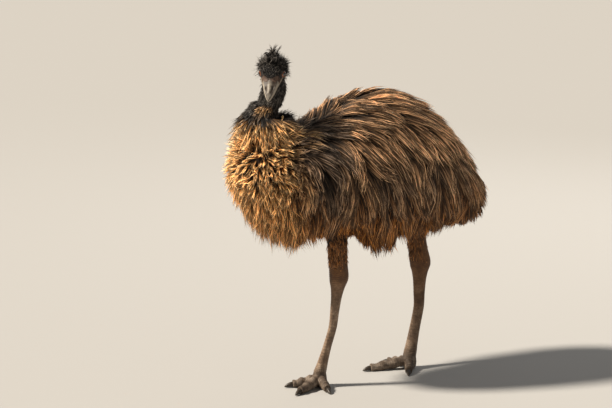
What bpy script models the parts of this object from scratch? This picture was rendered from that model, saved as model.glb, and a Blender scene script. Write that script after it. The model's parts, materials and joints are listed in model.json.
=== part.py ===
"""A life-size emu standing with its left foot ahead, its neck drawn in and its head turned to its left.

Metres, +Z up. The bird faces -Y and its left side is +X. The floor is Z = 0 and the origin
lies on it under the middle of the bird. Points are given as (left, ahead, height) from the hips.
"""

import math

import bmesh
import bpy
import numpy as np
from mathutils import Matrix

# The clearance between the faces of neighbouring nodes.
GAP = 0.0003
UP = np.array([0.0, 0.0, 1.0])

# Moves the bird, modelled about its hips, so that the origin is under the middle of it.
STAND_AT = (0.001, 0.0305, 0.0)

# Torso, out to the tips of its plumes, and how far the core lies inside them.
BODY_FRONT = 0.545
BODY_BACK = -0.498
BODY_ROUNDNESS = 2.25
COAT = 0.036
#            ahead, middle height, half height, half width
STATIONS = np.array([
    (-0.52, 0.600, 0.210, 0.200),
    (-0.42, 0.640, 0.205, 0.225),
    (-0.28, 0.715, 0.256, 0.250),
    (-0.10, 0.768, 0.290, 0.258),
    (0.08, 0.760, 0.278, 0.248),
    (0.20, 0.738, 0.246, 0.230),
    (0.30, 0.738, 0.244, 0.218),
    (0.40, 0.770, 0.256, 0.208),
    (0.55, 0.800, 0.232, 0.200),
])

# Locks of plumes: how far apart their roots are, and a lock's greatest sizes.
ROOT_SPACING = 0.083
LOCK_LENGTH = 0.200
LOCK_WIDTH = 0.066
LOCK_THICKNESS = 0.009
ROOT_DEPTH = 0.013
LOCK_CLEARANCE = 0.003
SEED = 11
#              along, share of width, share of thickness
LOCK_SHAPE = ((0.00, 0.50, 1.00), (0.33, 1.00, 1.00), (0.70, 0.74, 0.70))
# The lowest level that the tips of the locks hang down to.
HEM = 0.485

# The plane that parts the tail from the torso: how far ahead it lies, and how far it leans over backwards.
TAIL_CUT = -0.385
TAIL_LEAN = math.radians(28)

# Wings: points down the middle of the lobe, each with half its width there.
#    ahead, height, half width
WING = (
    (0.335, 0.845, 0.012),
    (0.320, 0.820, 0.026),
    (0.295, 0.780, 0.031),
    (0.270, 0.740, 0.027),
    (0.250, 0.700, 0.014),
)
WING_HALF_THICKNESS = 0.009

# Head: the middle of the eye line, where the bill points, and the sizes about that middle.
EYE_LINE = (0.034, 0.382, 1.128)
HEAD_TURN = math.radians(52)
HEAD_DROOP = math.radians(42)
EYE_RADIUS = 0.0130
EYE_OUT = 0.0345
BILL_BASE = 0.046
MOUTH_LEVEL = -0.0085
#          ahead, rise, half width, half height
SKULL = [
    (-0.047, 0.004, 0.015, 0.014),
    (-0.040, 0.004, 0.027, 0.026),
    (-0.026, 0.003, 0.0385, 0.0355),
    (-0.010, 0.002, 0.0440, 0.0390),
    (0.008, 0.000, 0.0430, 0.0365),
    (0.024, -0.004, 0.0380, 0.0290),
    (0.038, -0.007, 0.0325, 0.0220),
    (0.046, -0.0075, 0.0300, 0.0195),
]
#          ahead, half width, top of the upper bill
UPPER_BILL = [
    (0.0463, 0.0285, 0.0110),
    (0.058, 0.0250, 0.0102),
    (0.072, 0.0215, 0.0085),
    (0.086, 0.0170, 0.0055),
    (0.100, 0.0115, 0.0010),
    (0.109, 0.0068, -0.0040),
    (0.114, 0.0028, -0.0085),
]
#          ahead, half width, bottom of the lower bill
LOWER_BILL = [
    (0.0463, 0.0265, -0.0255),
    (0.060, 0.0222, -0.0230),
    (0.075, 0.0175, -0.0210),
    (0.090, 0.0122, -0.0197),
    (0.103, 0.0062, -0.0189),
    (0.108, 0.0025, -0.0184),
]

# Neck: centre line and half widths with its feathers, from inside the body to inside the head.
#        left, ahead, height, half width
NECK = [
    (0.000, 0.320, 0.850, 0.095),
    (-0.004, 0.360, 0.910, 0.100),
    (-0.008, 0.388, 0.955, 0.096),
    (-0.008, 0.395, 0.985, 0.080),
    (-0.004, 0.388, 1.012, 0.060),
    (0.000, 0.377, 1.042, 0.048),
    (0.007, 0.371, 1.070, 0.044),
    (0.014, 0.370, 1.100, 0.041),
]
NECK_CUT = 1.075
COLLAR_CUT = 1.000

# Legs: joints as (left, ahead, height), and the half widths across and fore-and-aft.
LEFT_LEG = {
    "hip": (0.105, 0.085, 0.720), "knee": (0.090, 0.160, 0.580), "hock": (0.076, 0.142, 0.398),
    "shin": (0.064, 0.160, 0.215), "ankle": (0.042, 0.200, 0.048), "heading": 29,
    "toes": ((-18, 0.128), (29, 0.160), (79, 0.120)),
}
RIGHT_LEG = {
    "hip": (-0.105, -0.190, 0.720), "knee": (-0.094, -0.262, 0.570), "hock": (-0.080, -0.288, 0.380),
    "shin": (-0.064, -0.274, 0.215), "ankle": (-0.022, -0.211, 0.048), "heading": -11,
    "toes": ((57, 0.122), (-11, 0.182), (-62, 0.122)),
}
CUFF = 0.045
SCUTES = 11
SCUTE = 0.0016
TOE_HALF = 0.0165
CLAW_LENGTH = 0.030

# Crest: rows of plumes from the brow to the nape.
#     ahead, plumes, length, how upright
CREST = (
    (0.004, 4, 0.034, 0.7),
    (-0.014, 5, 0.050, 1.0),
    (-0.030, 5, 0.052, 0.7),
    (-0.042, 4, 0.040, 0.2),
)
# Ruff: rings of locks round the base of the neck.
#     height, locks, length, how far out
RUFF = (
    (0.935, 12, 0.105, 0.25),
    (0.962, 12, 0.090, 0.40),
    (0.986, 10, 0.070, 0.55),
)

# Colours, as linear red, green and blue.
PLUMES = (0.130, 0.090, 0.058)
BLACK = (0.020, 0.018, 0.018)
SCALES = (0.170, 0.130, 0.100)
HORN = (0.330, 0.310, 0.280)
CLAWS = (0.060, 0.050, 0.045)
IRIS = (0.100, 0.040, 0.010)


def at(left, ahead, height):
    """A point from its distances to the bird's left, ahead and up."""
    return np.array([left, -ahead, height], float)


def unit(v):
    """One vector, or each of many, at length 1."""
    v = np.asarray(v, float)
    return v / np.linalg.norm(v, axis=-1, keepdims=True)


def clear_scene():
    """Removes every object that the scene starts with."""
    for item in list(bpy.data.objects):
        bpy.data.objects.remove(item)


def through(x, knots, values):
    """A smooth curve through the knots: cubic pieces whose slopes are the central differences."""
    slopes = np.gradient(values, knots)
    i = np.clip(np.searchsorted(knots, x) - 1, 0, len(knots) - 2)
    step = knots[i + 1] - knots[i]
    t = np.clip((x - knots[i]) / step, 0, 1)
    return (
        (2 * t**3 - 3 * t**2 + 1) * values[i]
        + (t**3 - 2 * t**2 + t) * step * slopes[i]
        + (3 * t**2 - 2 * t**3) * values[i + 1]
        + (t**3 - t**2) * step * slopes[i + 1]
    )


def mesh_of(points, faces):
    """A closed triangle mesh, facing out."""
    mesh = bpy.data.meshes.new("form")
    mesh.from_pydata([tuple(map(float, p)) for p in points], [], faces)
    form = bmesh.new()
    form.from_mesh(mesh)
    bmesh.ops.triangulate(form, faces=form.faces[:])
    bmesh.ops.recalc_face_normals(form, faces=form.faces[:])
    form.to_mesh(mesh)
    form.free()
    return mesh


def loft(rings, start=None, end=None):
    """A closed skin over rings of equal count. An end is a point, or a flat cap where none is given."""
    sides = len(rings[0])
    points = [p for ring in rings for p in ring]
    faces = []
    for r in range(len(rings) - 1):
        for s in range(sides):
            a, b = r * sides + s, r * sides + (s + 1) % sides
            faces.append((a, b, b + sides, a + sides))
    for tip, ring in ((start, 0), (end, len(rings) - 1)):
        loop = [ring * sides + s for s in range(sides)]
        if tip is None:
            faces.append(tuple(reversed(loop)) if ring == 0 else tuple(loop))
            continue
        points.append(tip)
        apex = len(points) - 1
        for s in range(sides):
            a, b = loop[s], loop[(s + 1) % sides]
            faces.append((b, a, apex) if ring == 0 else (a, b, apex))
    return mesh_of(points, faces)


def rings_along(centres, wide, deep, sides, side_axis, ways=None):
    """Oval rings square to a path. Each ring's width runs along side_axis, as near as the path lets it."""
    centres = np.asarray(centres, float)
    ways = np.gradient(centres, axis=0) if ways is None else np.asarray(ways, float)
    turn = np.linspace(0, 2 * math.pi, sides, endpoint=False)
    rings = []
    for centre, way, w, d in zip(centres, unit(ways), wide, deep):
        across = unit(np.asarray(side_axis) - np.dot(side_axis, way) * way)
        other = np.cross(way, across)
        rings.append(centre + np.outer(np.cos(turn) * w, across) + np.outer(np.sin(turn) * d, other))
    return rings


def lengthened(rings, grow):
    """The same rings with the two end ones moved outward along the path."""
    first, last = rings[0].mean(axis=0), rings[-1].mean(axis=0)
    rings[0] = rings[0] + unit(first - rings[1].mean(axis=0)) * grow
    rings[-1] = rings[-1] + unit(last - rings[-2].mean(axis=0)) * grow
    return rings


def ball(centre, sizes, axes, sides=12, rows=7):
    """An ellipsoid with its half sizes along three axes."""
    form = bmesh.new()
    bmesh.ops.create_uvsphere(form, u_segments=sides, v_segments=rows, radius=1)
    columns = [np.asarray(axis) * size for axis, size in zip(axes, sizes)]
    return placed(form, columns, centre)


def placed(form, columns, centre):
    """A bmesh set down as a closed triangle mesh, with its own x, y and z laid along three vectors."""
    matrix = Matrix([[*(float(c[i]) for c in columns), float(centre[i])] for i in range(3)] + [[0, 0, 0, 1]])
    bmesh.ops.transform(form, matrix=matrix, verts=form.verts[:])
    bmesh.ops.triangulate(form, faces=form.faces[:])
    bmesh.ops.recalc_face_normals(form, faces=form.faces[:])
    mesh = bpy.data.meshes.new("form")
    form.to_mesh(mesh)
    form.free()
    return mesh


def joined(meshes, cutters=(), solver="MANIFOLD"):
    """The meshes fused into one by a union, with the cutters taken out, as its largest closed surface."""
    base = bpy.data.objects.new("base", meshes[0])
    bpy.context.scene.collection.objects.link(base)
    groups = []
    for kind, forms in (("UNION", meshes[1:]), ("DIFFERENCE", cutters)):
        if not forms:
            continue
        pieces = bpy.data.collections.new("pieces")
        bpy.context.scene.collection.children.link(pieces)
        for form in forms:
            pieces.objects.link(bpy.data.objects.new("piece", form))
        step = base.modifiers.new(kind, "BOOLEAN")
        step.operation = kind
        step.operand_type = "COLLECTION"
        step.collection = pieces
        step.solver = solver
        groups.append(pieces)
    bpy.context.view_layer.update()
    graph = bpy.context.evaluated_depsgraph_get()
    made = bpy.data.meshes.new_from_object(base.evaluated_get(graph))
    bpy.data.objects.remove(base)
    for pieces in groups:
        for item in list(pieces.objects):
            bpy.data.objects.remove(item)
        bpy.data.collections.remove(pieces)
    return largest(made)


def largest(mesh):
    """Keeps the closed surface that encloses most, and drops loose scraps and sealed hollows."""
    form = bmesh.new()
    form.from_mesh(mesh)
    bmesh.ops.triangulate(form, faces=form.faces[:])
    left = set(form.faces)
    shells = []
    while left:
        shell, edge = set(), [left.pop()]
        while edge:
            face = edge.pop()
            shell.add(face)
            for loop_edge in face.edges:
                for other in loop_edge.link_faces:
                    if other in left:
                        left.remove(other)
                        edge.append(other)
        shells.append(shell)
    volumes = [sum(f.verts[0].co.dot(f.verts[1].co.cross(f.verts[2].co)) for f in s) / 6 for s in shells]
    keep = shells[volumes.index(max(volumes))]
    bmesh.ops.delete(form, geom=[f for f in form.faces if f not in keep], context="FACES")
    form.to_mesh(mesh)
    form.free()
    mesh.materials.clear()
    return mesh


def beyond(centre, way):
    """A large block whose one face lies on a point and which fills everything on the side of the way."""
    way = unit(way)
    across = unit(np.cross(way, (0.3, 0.5, 0.8)))
    form = bmesh.new()
    bmesh.ops.create_cube(form, size=3.0)
    return placed(form, (across, np.cross(way, across), way), np.asarray(centre) + way * 1.5)


def below(height):
    """A block that fills everything under a height."""
    return beyond((0, 0, height), (0, 0, -1))


def over(height):
    """A block that fills everything over a height."""
    return beyond((0, 0, height), (0, 0, 1))


def body_rings(count, sides, inset=0.0):
    """Rings round the torso from tail to breast, which closes to a rounded end at both."""
    middle = (BODY_FRONT + BODY_BACK) / 2
    half = (BODY_FRONT - BODY_BACK) / 2 - inset
    turn = np.linspace(0, 2 * math.pi, sides, endpoint=False)
    share = 2 / BODY_ROUNDNESS
    across = np.sign(np.cos(turn)) * np.abs(np.cos(turn)) ** share
    upward = np.sign(np.sin(turn)) * np.abs(np.sin(turn)) ** share

    def sizes(t):
        ahead = middle + half * t
        return [ahead] + [float(through(ahead, STATIONS[:, 0], STATIONS[:, k])) for k in (1, 2, 3)]

    rings = []
    for a in np.linspace(0, math.pi, count + 2)[1:-1]:
        t = -math.cos(a)
        size = (1 - abs(t) ** BODY_ROUNDNESS) ** (1 / BODY_ROUNDNESS)
        ahead, height, tall, wide = sizes(t)
        x = (wide - inset) * size * across
        rings.append(np.stack([x, np.full(sides, -ahead), height + (tall - inset) * size * upward], axis=1))
    ends = [at(0, *sizes(t)[:2]) for t in (-1, 1)]
    return rings, ends


def head_axes():
    """The ways that the bill points, that the head's left side faces and that its crown faces."""
    turn, droop = HEAD_TURN, HEAD_DROOP
    bill = at(math.cos(droop) * math.sin(turn), math.cos(droop) * math.cos(turn), -math.sin(droop))
    side = at(math.cos(turn), -math.sin(turn), 0)
    crown = np.cross(side, bill)
    return bill, side, crown if crown[2] > 0 else -crown


def in_head(ahead, side, rise):
    """A point of the head from its distances ahead of, to the left of and over the eye line."""
    b, s, c = head_axes()
    return at(*EYE_LINE) + ahead * b + side * s + rise * c


def head_loft(rows, sides, grow=0.0, power=1.0):
    """A form along the head's own axis from rows of (ahead, rise, half width, half height)."""
    b, s, c = head_axes()
    turn = np.linspace(0, 2 * math.pi, sides, endpoint=False)
    across = np.sign(np.cos(turn)) * np.abs(np.cos(turn)) ** power
    upward = np.sign(np.sin(turn)) * np.abs(np.sin(turn)) ** power
    return [
        in_head(a, 0, r) + np.outer(across * (w + grow), s) + np.outer(upward * (h + grow), c)
        for a, r, w, h in rows
    ]


def mouth_line(ahead, lower=False):
    """The rise of the line where the bills meet. It is straight, and the lower bill keeps the gap."""
    return MOUTH_LEVEL - 0.110 * (ahead - BILL_BASE) - (GAP * 1.2 if lower else 0.0)


def bill_rows(rows, lower=False):
    """Rows of (ahead, half width, outer edge) as rows for head_loft, which reach to the mouth line."""
    made = []
    for ahead, wide, edge in rows:
        line = mouth_line(ahead, lower)
        made.append((ahead, (edge + line) / 2, wide, abs(edge - line) / 2))
    return made


def neck_rings(sides, grow=0.0):
    """Rings up the neck, whose half widths are given in NECK."""
    table = np.array(NECK)
    t = np.linspace(0, len(NECK) - 1, 12)
    knots = np.arange(len(NECK), dtype=float)
    left, ahead, height, half = (through(t, knots, table[:, k]) for k in range(4))
    centres = np.stack([left, -ahead, height], axis=1)
    return lengthened(rings_along(centres, half + grow, half + grow, sides, (1, 0, 0)), grow)


def eye_place(side):
    """The middle of the left eye (1) or the right one (-1)."""
    return in_head(0.002, side * EYE_OUT, 0.0015)


def lids(side):
    """A ring of lid round an eye, as a thin torus whose hole faces out and a little ahead."""
    b, s, c = head_axes()
    out = unit(side * s * 0.93 + b * 0.30 + c * 0.05)
    along = unit(np.cross(c, out))
    upward = np.cross(out, along)
    centre = eye_place(side) + out * 0.0065
    bpy.ops.mesh.primitive_torus_add(
        major_segments=14, minor_segments=5, major_radius=0.0122, minor_radius=0.0032
    )
    ring = bpy.context.object
    form = bmesh.new()
    form.from_mesh(ring.data)
    bpy.data.objects.remove(ring)
    return placed(form, (along * 1.12, upward * 0.86, out), centre)


def throat():
    """The top of the neck, which runs up into the skull."""
    rings = neck_rings(12)[6:]
    return loft(rings, end=in_head(-0.024, 0, -0.004))


def mouth_groove(side):
    """A thin curved wedge that cuts the gape back from the bill's corner to under the eye."""
    b, s, c = head_axes()
    line = ((0.050, 0.025, 0.0), (0.040, 0.0295, -0.001), (0.030, 0.034, -0.003), (0.020, 0.0385, -0.006))
    wedge = ((-0.003, 0), (0.006, -0.0009), (0.006, 0.0009))
    rings = []
    for a, out, drop in line:
        centre = in_head(a, side * out, MOUTH_LEVEL + drop)
        rings.append(np.array([centre + side * s * x + c * z for x, z in wedge]))
    return loft(rings)


def head():
    """The skull and the top of the throat, with lids and crest, cut for the eyes, the gapes and the ears."""
    b, s, c = head_axes()
    skull = loft(head_loft(SKULL, 16), start=in_head(-0.050, 0, 0.004))
    cutters = [below(NECK_CUT + GAP / 2)]
    for side in (-1, 1):
        cutters.append(ball(eye_place(side), (EYE_RADIUS + GAP,) * 3, (b, c, s), 12, 8))
        cutters.append(mouth_groove(side))
        cutters.append(ball(in_head(-0.027, side * 0.0385, -0.006), (0.0045, 0.006, 0.004), (b, c, s), 8, 5))
    return joined([skull, throat(), lids(-1), lids(1)] + crest(), cutters)


def neck():
    """The neck from the ruff to the head, with its short locks."""
    column = joined([loft(neck_rings(16))], [over(NECK_CUT - GAP / 2), below(COLLAR_CUT + GAP / 2)])
    return joined([column] + neck_locks())


def upper_bill():
    """The upper bill down to the mouth line, with an oval nostril sunk in each side."""
    b, s, c = head_axes()
    form = loft(head_loft(bill_rows(UPPER_BILL), 12, power=0.85), end=in_head(0.116, 0, -0.0140))
    slits = []
    for side in (-1, 1):
        place = in_head(0.074, side * 0.0165, 0.0035)
        slits.append(ball(place, (0.0065, 0.0028, 0.0042), (b, c, s), 10, 5))
    return joined([form], slits)


def lower_bill():
    """The lower bill up to the mouth line."""
    return loft(head_loft(bill_rows(LOWER_BILL, True), 12, power=0.85), end=in_head(0.109, 0, -0.0176))


def leg_path(leg, names):
    """The named joints of a leg, in place."""
    return [at(*leg[name]) for name in names]


def cuff_level(leg):
    """The level at which the feathered leg ends and the bare hock begins."""
    return leg["hock"][2] + CUFF


def thigh_rings(leg, grow=0.0, sides=12):
    """The feathered drumstick, from inside the body down into the hock."""
    hip, knee, hock = leg_path(leg, ("hip", "knee", "hock"))
    upper = [hip + (knee - hip) * k for k in (0, 0.35, 0.7)]
    lower = [knee + (hock - knee) * k for k in (0.04, 0.28, 0.52, 0.76, 1.0)]
    wide = np.array([0.050, 0.056, 0.054, 0.048, 0.041, 0.038, 0.036, 0.035])
    deep = np.array([0.060, 0.070, 0.064, 0.054, 0.045, 0.041, 0.039, 0.038])
    return lengthened(rings_along(upper + lower, wide + grow, deep + grow, sides, (1, 0, 0)), grow)


def thigh(leg):
    """The feathered drumstick down to the cuff, whose upper end lies in a socket of the torso."""
    return joined([loft(thigh_rings(leg))], [below(cuff_level(leg) + GAP / 2)])


def shank(leg):
    """The bare lower leg: a knobbed hock, a narrow shank with a row of scutes in front, and the ankle.

    Each scute overlaps the next below it, so the front steps in by SCUTE at each one's lower edge.
    """
    knee, hock, shin, ankle = leg_path(leg, ("knee", "hock", "shin", "ankle"))
    top = hock + (knee - hock) * (CUFF * 1.5 / np.linalg.norm(knee - hock))
    rows = [(top, 0.0365, 0.0385), (hock + (top - hock) * 0.4, 0.0345, 0.0400), (hock, 0.0330, 0.0400)]
    shaft = ((0.16, 0.0270, 0.0360), (0.36, 0.0180, 0.0260), (0.68, 0.0140, 0.0225), (1.0, 0.0125, 0.0205))
    for k, w, d in shaft:
        rows.append((hock + (shin - hock) * k, w, d))
    for k, w, d in ((0.40, 0.0130, 0.0205), (0.72, 0.0165, 0.0225), (1.08, 0.0225, 0.0260)):
        rows.append((shin + (ankle - shin) * k, w, d))
    table = np.array([(*centre, w, d) for centre, w, d in rows])
    levels = -table[:, 2]
    edges = np.linspace(shin[2] + 0.62 * (hock[2] - shin[2]), ankle[2] + 0.012, SCUTES + 1)
    steps = [(z, 0.0) for z in table[:, 2] if z > edges[0] + 0.01]
    for upper, lower in zip(edges[:-1], edges[1:]):
        steps += [(upper - 0.0012, 0.0), (lower + 0.0012, SCUTE)]
    steps += [(table[-1, 2], 0.0)]
    turn = math.radians(leg["heading"])
    across = at(math.cos(turn), -math.sin(turn), 0)
    rings = []
    for z, raised in steps:
        x, y, w, d = (float(through(-z, levels, table[:, k])) for k in (0, 1, 3, 4))
        centres = np.array([(x, y, z)])
        ring = rings_along(centres, [w], [d], 12, across, [(0, 0, -1)])[0]
        front = (ring - centres[0]) @ at(math.sin(turn), math.cos(turn), 0) / d
        ring = centres[0] + (ring - centres[0]) * (1 + raised / d * (front > 0.4))[:, None]
        rings.append(ring)
    return joined([loft(rings)], [over(cuff_level(leg) - GAP / 2), below(ankle[2])])


def toe_path(leg, angle):
    """Where a toe starts, and the way along the floor that it points. Angles open to the bird's left."""
    ankle = at(*leg["ankle"])
    a = math.radians(angle)
    way = at(math.sin(a), math.cos(a), 0)
    return ankle, way


def toe(leg, angle, length):
    """One toe with its pads, flat where it meets the floor, as rings from the ankle to the claw."""
    ankle, way = toe_path(leg, angle)
    reach = length - CLAW_LENGTH
    rings = []
    turn = np.linspace(0, 2 * math.pi, 10, endpoint=False)
    side = np.cross((0, 0, 1), way)
    rows = (
        (0.0, 0.034, 1.00),
        (0.25, 0.026, 1.05),
        (0.45, 0.019, 0.92),
        (0.62, 0.0185, 1.0),
        (0.80, 0.0145, 0.84),
        (1.0, 0.0115, 0.70),
    )
    for k, height, w in rows:
        centre = ankle * (1, 1, 0) + way * reach * k + np.array([0, 0, height])
        half = TOE_HALF * w
        ring = centre + np.outer(np.cos(turn) * half, side) + np.outer(np.sin(turn) * half * 1.15, (0, 0, 1))
        ring[:, 2] = np.maximum(ring[:, 2], 0.0)
        rings.append(ring)
    return rings


def foot(leg):
    """The pad under the ankle and three toes, up to the shank's lower end."""
    ankle = at(*leg["ankle"])
    flat = at(leg["ankle"][0], leg["ankle"][1], 0)
    turn = np.linspace(0, 2 * math.pi, 12, endpoint=False)
    rings = []
    pad = ((0.0, 0.019), (0.010, 0.0245), (0.026, 0.0265), (0.040, 0.0255), (0.048 - GAP, 0.0235))
    for z, r in pad:
        rings.append(flat + np.stack([np.cos(turn) * r, np.sin(turn) * r, np.full(12, z)], axis=1))
    pieces = [loft(rings)]
    for angle, length in leg["toes"]:
        pieces.append(loft(toe(leg, angle, length)))
    return joined(pieces, [over(ankle[2] - GAP)])


def claw(leg, angle, length):
    """A blunt claw that carries on from the end of a toe and bends down to the floor."""
    ankle, way = toe_path(leg, angle)
    side = np.cross((0, 0, 1), way)
    start = ankle * (1, 1, 0) + way * (length - CLAW_LENGTH + GAP)
    turn = np.linspace(0, 2 * math.pi, 8, endpoint=False)
    rings = []
    rows = ((0, 0.0115, 0.0090, 0.0105), (0.35, 0.0105, 0.0078, 0.0085), (0.7, 0.0075, 0.0055, 0.0060))
    for k, height, w, h in rows:
        centre = start + way * CLAW_LENGTH * k + np.array([0, 0, height])
        ring = centre + np.outer(np.cos(turn) * w, side) + np.outer(np.sin(turn) * h, (0, 0, 1))
        ring[:, 2] = np.maximum(ring[:, 2], 0.0)
        rings.append(ring)
    return loft(rings, end=start + way * (CLAW_LENGTH - GAP) + np.array([0, 0, 0.003]))


def torso_level(p):
    """A measure that is 1 on the torso's core, less inside it and more outside, at one point or many."""
    middle, half = (BODY_FRONT + BODY_BACK) / 2, (BODY_FRONT - BODY_BACK) / 2 - COAT
    ahead = -p[..., 1]
    mid, tall, wide = (through(ahead, STATIONS[:, 0], STATIONS[:, k]) for k in (1, 2, 3))
    parts = ((ahead - middle) / half, p[..., 0] / (wide - COAT), (p[..., 2] - mid) / (tall - COAT))
    return sum(np.abs(q) ** BODY_ROUNDNESS for q in parts) ** (1 / BODY_ROUNDNESS)


def torso_slope(p):
    """How fast torso_level grows in each direction."""
    step = 0.002
    moves = np.eye(3) * step
    return np.stack([(torso_level(p + m) - torso_level(p - m)) / (2 * step) for m in moves], axis=-1)


def height_over(p):
    """The distance of points outside the torso's core."""
    return (torso_level(p) - 1) / np.linalg.norm(torso_slope(p), axis=-1)


def lifted(p, height, hang):
    """Points moved along the normal to a height over the core, or left further out where they hang."""
    for _ in range(3):
        slope = torso_slope(p)
        size = np.linalg.norm(slope, axis=-1)
        miss = height - (torso_level(p) - 1) / size
        miss = np.where(miss < 0, miss * (1 - hang), miss)
        p = p + slope / size[..., None] * miss[..., None]
    return p


def lie(p):
    """The way that the plumes lie at points on the torso, and how freely they hang there.

    They part along the spine and sweep back and down over the flanks, fall straight on the breast
    and rump, and hang free under the belly.
    """
    ahead = -p[..., 1]
    mid, tall, wide = (through(ahead, STATIONS[:, 0], STATIONS[:, k]) for k in (1, 2, 3))
    rise = (p[..., 2] - mid) / tall
    fall = np.interp(rise, (-0.6, -0.2, 0.3, 0.7, 1.0), np.radians((88, 74, 56, 34, 14)))
    fall = fall + np.clip((ahead - 0.20) / 0.25, 0, 1) * (math.radians(84) - fall)
    outward = np.sign(p[..., 0]) * np.clip(rise, 0, 1) * 0.35
    way = np.stack([outward, np.cos(fall), -np.sin(fall)], axis=-1)
    normal = unit(torso_slope(p))
    flat = way - normal * np.sum(way * normal, axis=-1, keepdims=True)
    hang = np.clip((-0.25 - rise) / 0.45, 0, 1)
    return unit(flat * (1 - hang[..., None]) + np.array([0, 0, -1.0]) * hang[..., None]), hang


def lock_path(root, length, deep, curl):
    """The middle line and outward side of a lock, which starts under the surface and rises to its tip."""
    steps = 12
    p, points, sides = np.asarray(root, float), [], []
    for k in range(steps + 1):
        t = k / steps
        way, hang = lie(p)
        p = lifted(p, -deep + (deep + COAT) * t, hang)
        normal = unit(torso_slope(p))
        points.append(p)
        sides.append(unit(normal + hang * np.array([np.sign(p[0]) * 0.9, -0.2, 0])))
        across = np.cross(sides[-1], way)
        p = p + unit(way + across * curl * t) * length / steps
    return np.array(points), np.array(sides)


def lock(points, sides, width, thickness, grow=0.0):
    """A flat tapered lock along a path: four-sided rings that narrow to a point."""
    rings = []
    ways = np.gradient(points, axis=0)
    last = len(points) - 1
    for along, wide, thick in LOCK_SHAPE:
        i = round(along * last)
        out = unit(sides[i] - np.dot(sides[i], unit(ways[i])) * unit(ways[i]))
        across = np.cross(out, unit(ways[i])) * (width / 2 * wide + grow)
        lift = out * (thickness / 2 * thick + grow)
        back = unit(ways[0]) * grow * (i == 0)
        rings.append(points[i] - back + np.array([across, lift, -across, -lift]))
    return loft(rings, end=points[last] + unit(ways[last]) * grow)


def row_places():
    """Where along the body each row of roots lies, at equal steps over its rounded profile."""
    a = np.linspace(0, math.pi, 400)
    t = np.cos(a)
    half = (BODY_FRONT - BODY_BACK) / 2 - COAT
    out = 0.21 * (1 - np.abs(t) ** BODY_ROUNDNESS) ** (1 / BODY_ROUNDNESS)
    run = np.concatenate([[0], np.cumsum(np.hypot(np.diff(half * t), np.diff(out)))])
    step = ROOT_SPACING * 0.88
    return np.interp(np.arange(step * 0.45, run[-1], step), run, t)


def roots():
    """Root points in staggered rows over the torso's core, with a small seeded scatter."""
    draw = np.random.default_rng(SEED)
    middle, half = (BODY_FRONT + BODY_BACK) / 2, (BODY_FRONT - BODY_BACK) / 2 - COAT
    found = []
    for row, t in enumerate(row_places()):
        ahead = middle + half * t
        size = (1 - abs(t) ** BODY_ROUNDNESS) ** (1 / BODY_ROUNDNESS)
        mid, tall, wide = (float(through(ahead, STATIONS[:, 0], STATIONS[:, k])) for k in (1, 2, 3))
        a, b = (wide - COAT) * size, (tall - COAT) * size
        girth = math.pi * (3 * (a + b) - math.sqrt((3 * a + b) * (a + 3 * b)))
        count = max(3, round(girth / ROOT_SPACING))
        for k in range(count):
            turn = 2 * math.pi * (k + 0.5 * (row % 2) + draw.uniform(-0.16, 0.16)) / count
            p = at(a * math.cos(turn), ahead + draw.uniform(-0.006, 0.006), mid + b * math.sin(turn))
            found.append(lifted(p, 0.0, 0.0))
    return found


def lock_length(p):
    """Locks are shorter on the breast and under the belly than over the back and flanks."""
    ahead = -p[1]
    mid = float(through(ahead, STATIONS[:, 0], STATIONS[:, 1]))
    length = LOCK_LENGTH * (1 - 0.38 * min(1, max(0, (ahead - 0.18) / 0.22)))
    length *= 1 - 0.30 * min(1, max(0, (mid - 0.02 - p[2]) / 0.15))
    return min(length, max(0.075, (p[2] - HEM) * 1.15))


def wing_path(side):
    """Points down the middle of a wing, which lie on the flank."""
    return [at(side * (flank(a, z) - 0.004), a, z) for a, z, half in WING]


def owner(p):
    """The node that a root belongs to, or none where two nodes meet."""
    place, way = tail_plane(TAIL_CUT)
    behind = float(np.dot(p - place, way))
    if behind > 0.006:
        return "tail"
    if behind > -0.060:
        return None
    knees = [at(*leg["knee"]) for leg in (LEFT_LEG, RIGHT_LEG)]
    if p[2] < 0.62 and any(np.hypot(*(p[:2] - knee[:2])) < 0.075 for knee in knees):
        return None
    side = 1 if p[0] > 0 else -1
    away = min(np.linalg.norm(p - q) for q in wing_path(side))
    if away < 0.034:
        return "wing_left" if side == 1 else "wing_right"
    if away < 0.060:
        return None
    top = np.array(NECK[2][:3])
    if p[2] > 0.86 and np.linalg.norm((p - at(*top)) * (1, 1, 0.7)) < 0.098:
        return None
    return "torso"


def coat_of(name, grow=0.0):
    """The locks that belong to a node, or the same ones made larger, as cutters for its neighbour."""
    draw = np.random.default_rng(SEED + 1)
    made = []
    for p in roots():
        curl, stretch, wide = draw.uniform(-0.35, 0.35), draw.uniform(0.85, 1.1), draw.uniform(0.85, 1.1)
        if owner(p) != name:
            continue
        deep = ROOT_DEPTH if "wing" not in name else 0.006
        points, sides = lock_path(p, lock_length(p) * stretch, deep, curl)
        made.append(lock(points, sides, LOCK_WIDTH * wide, LOCK_THICKNESS, grow))
    return made


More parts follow.
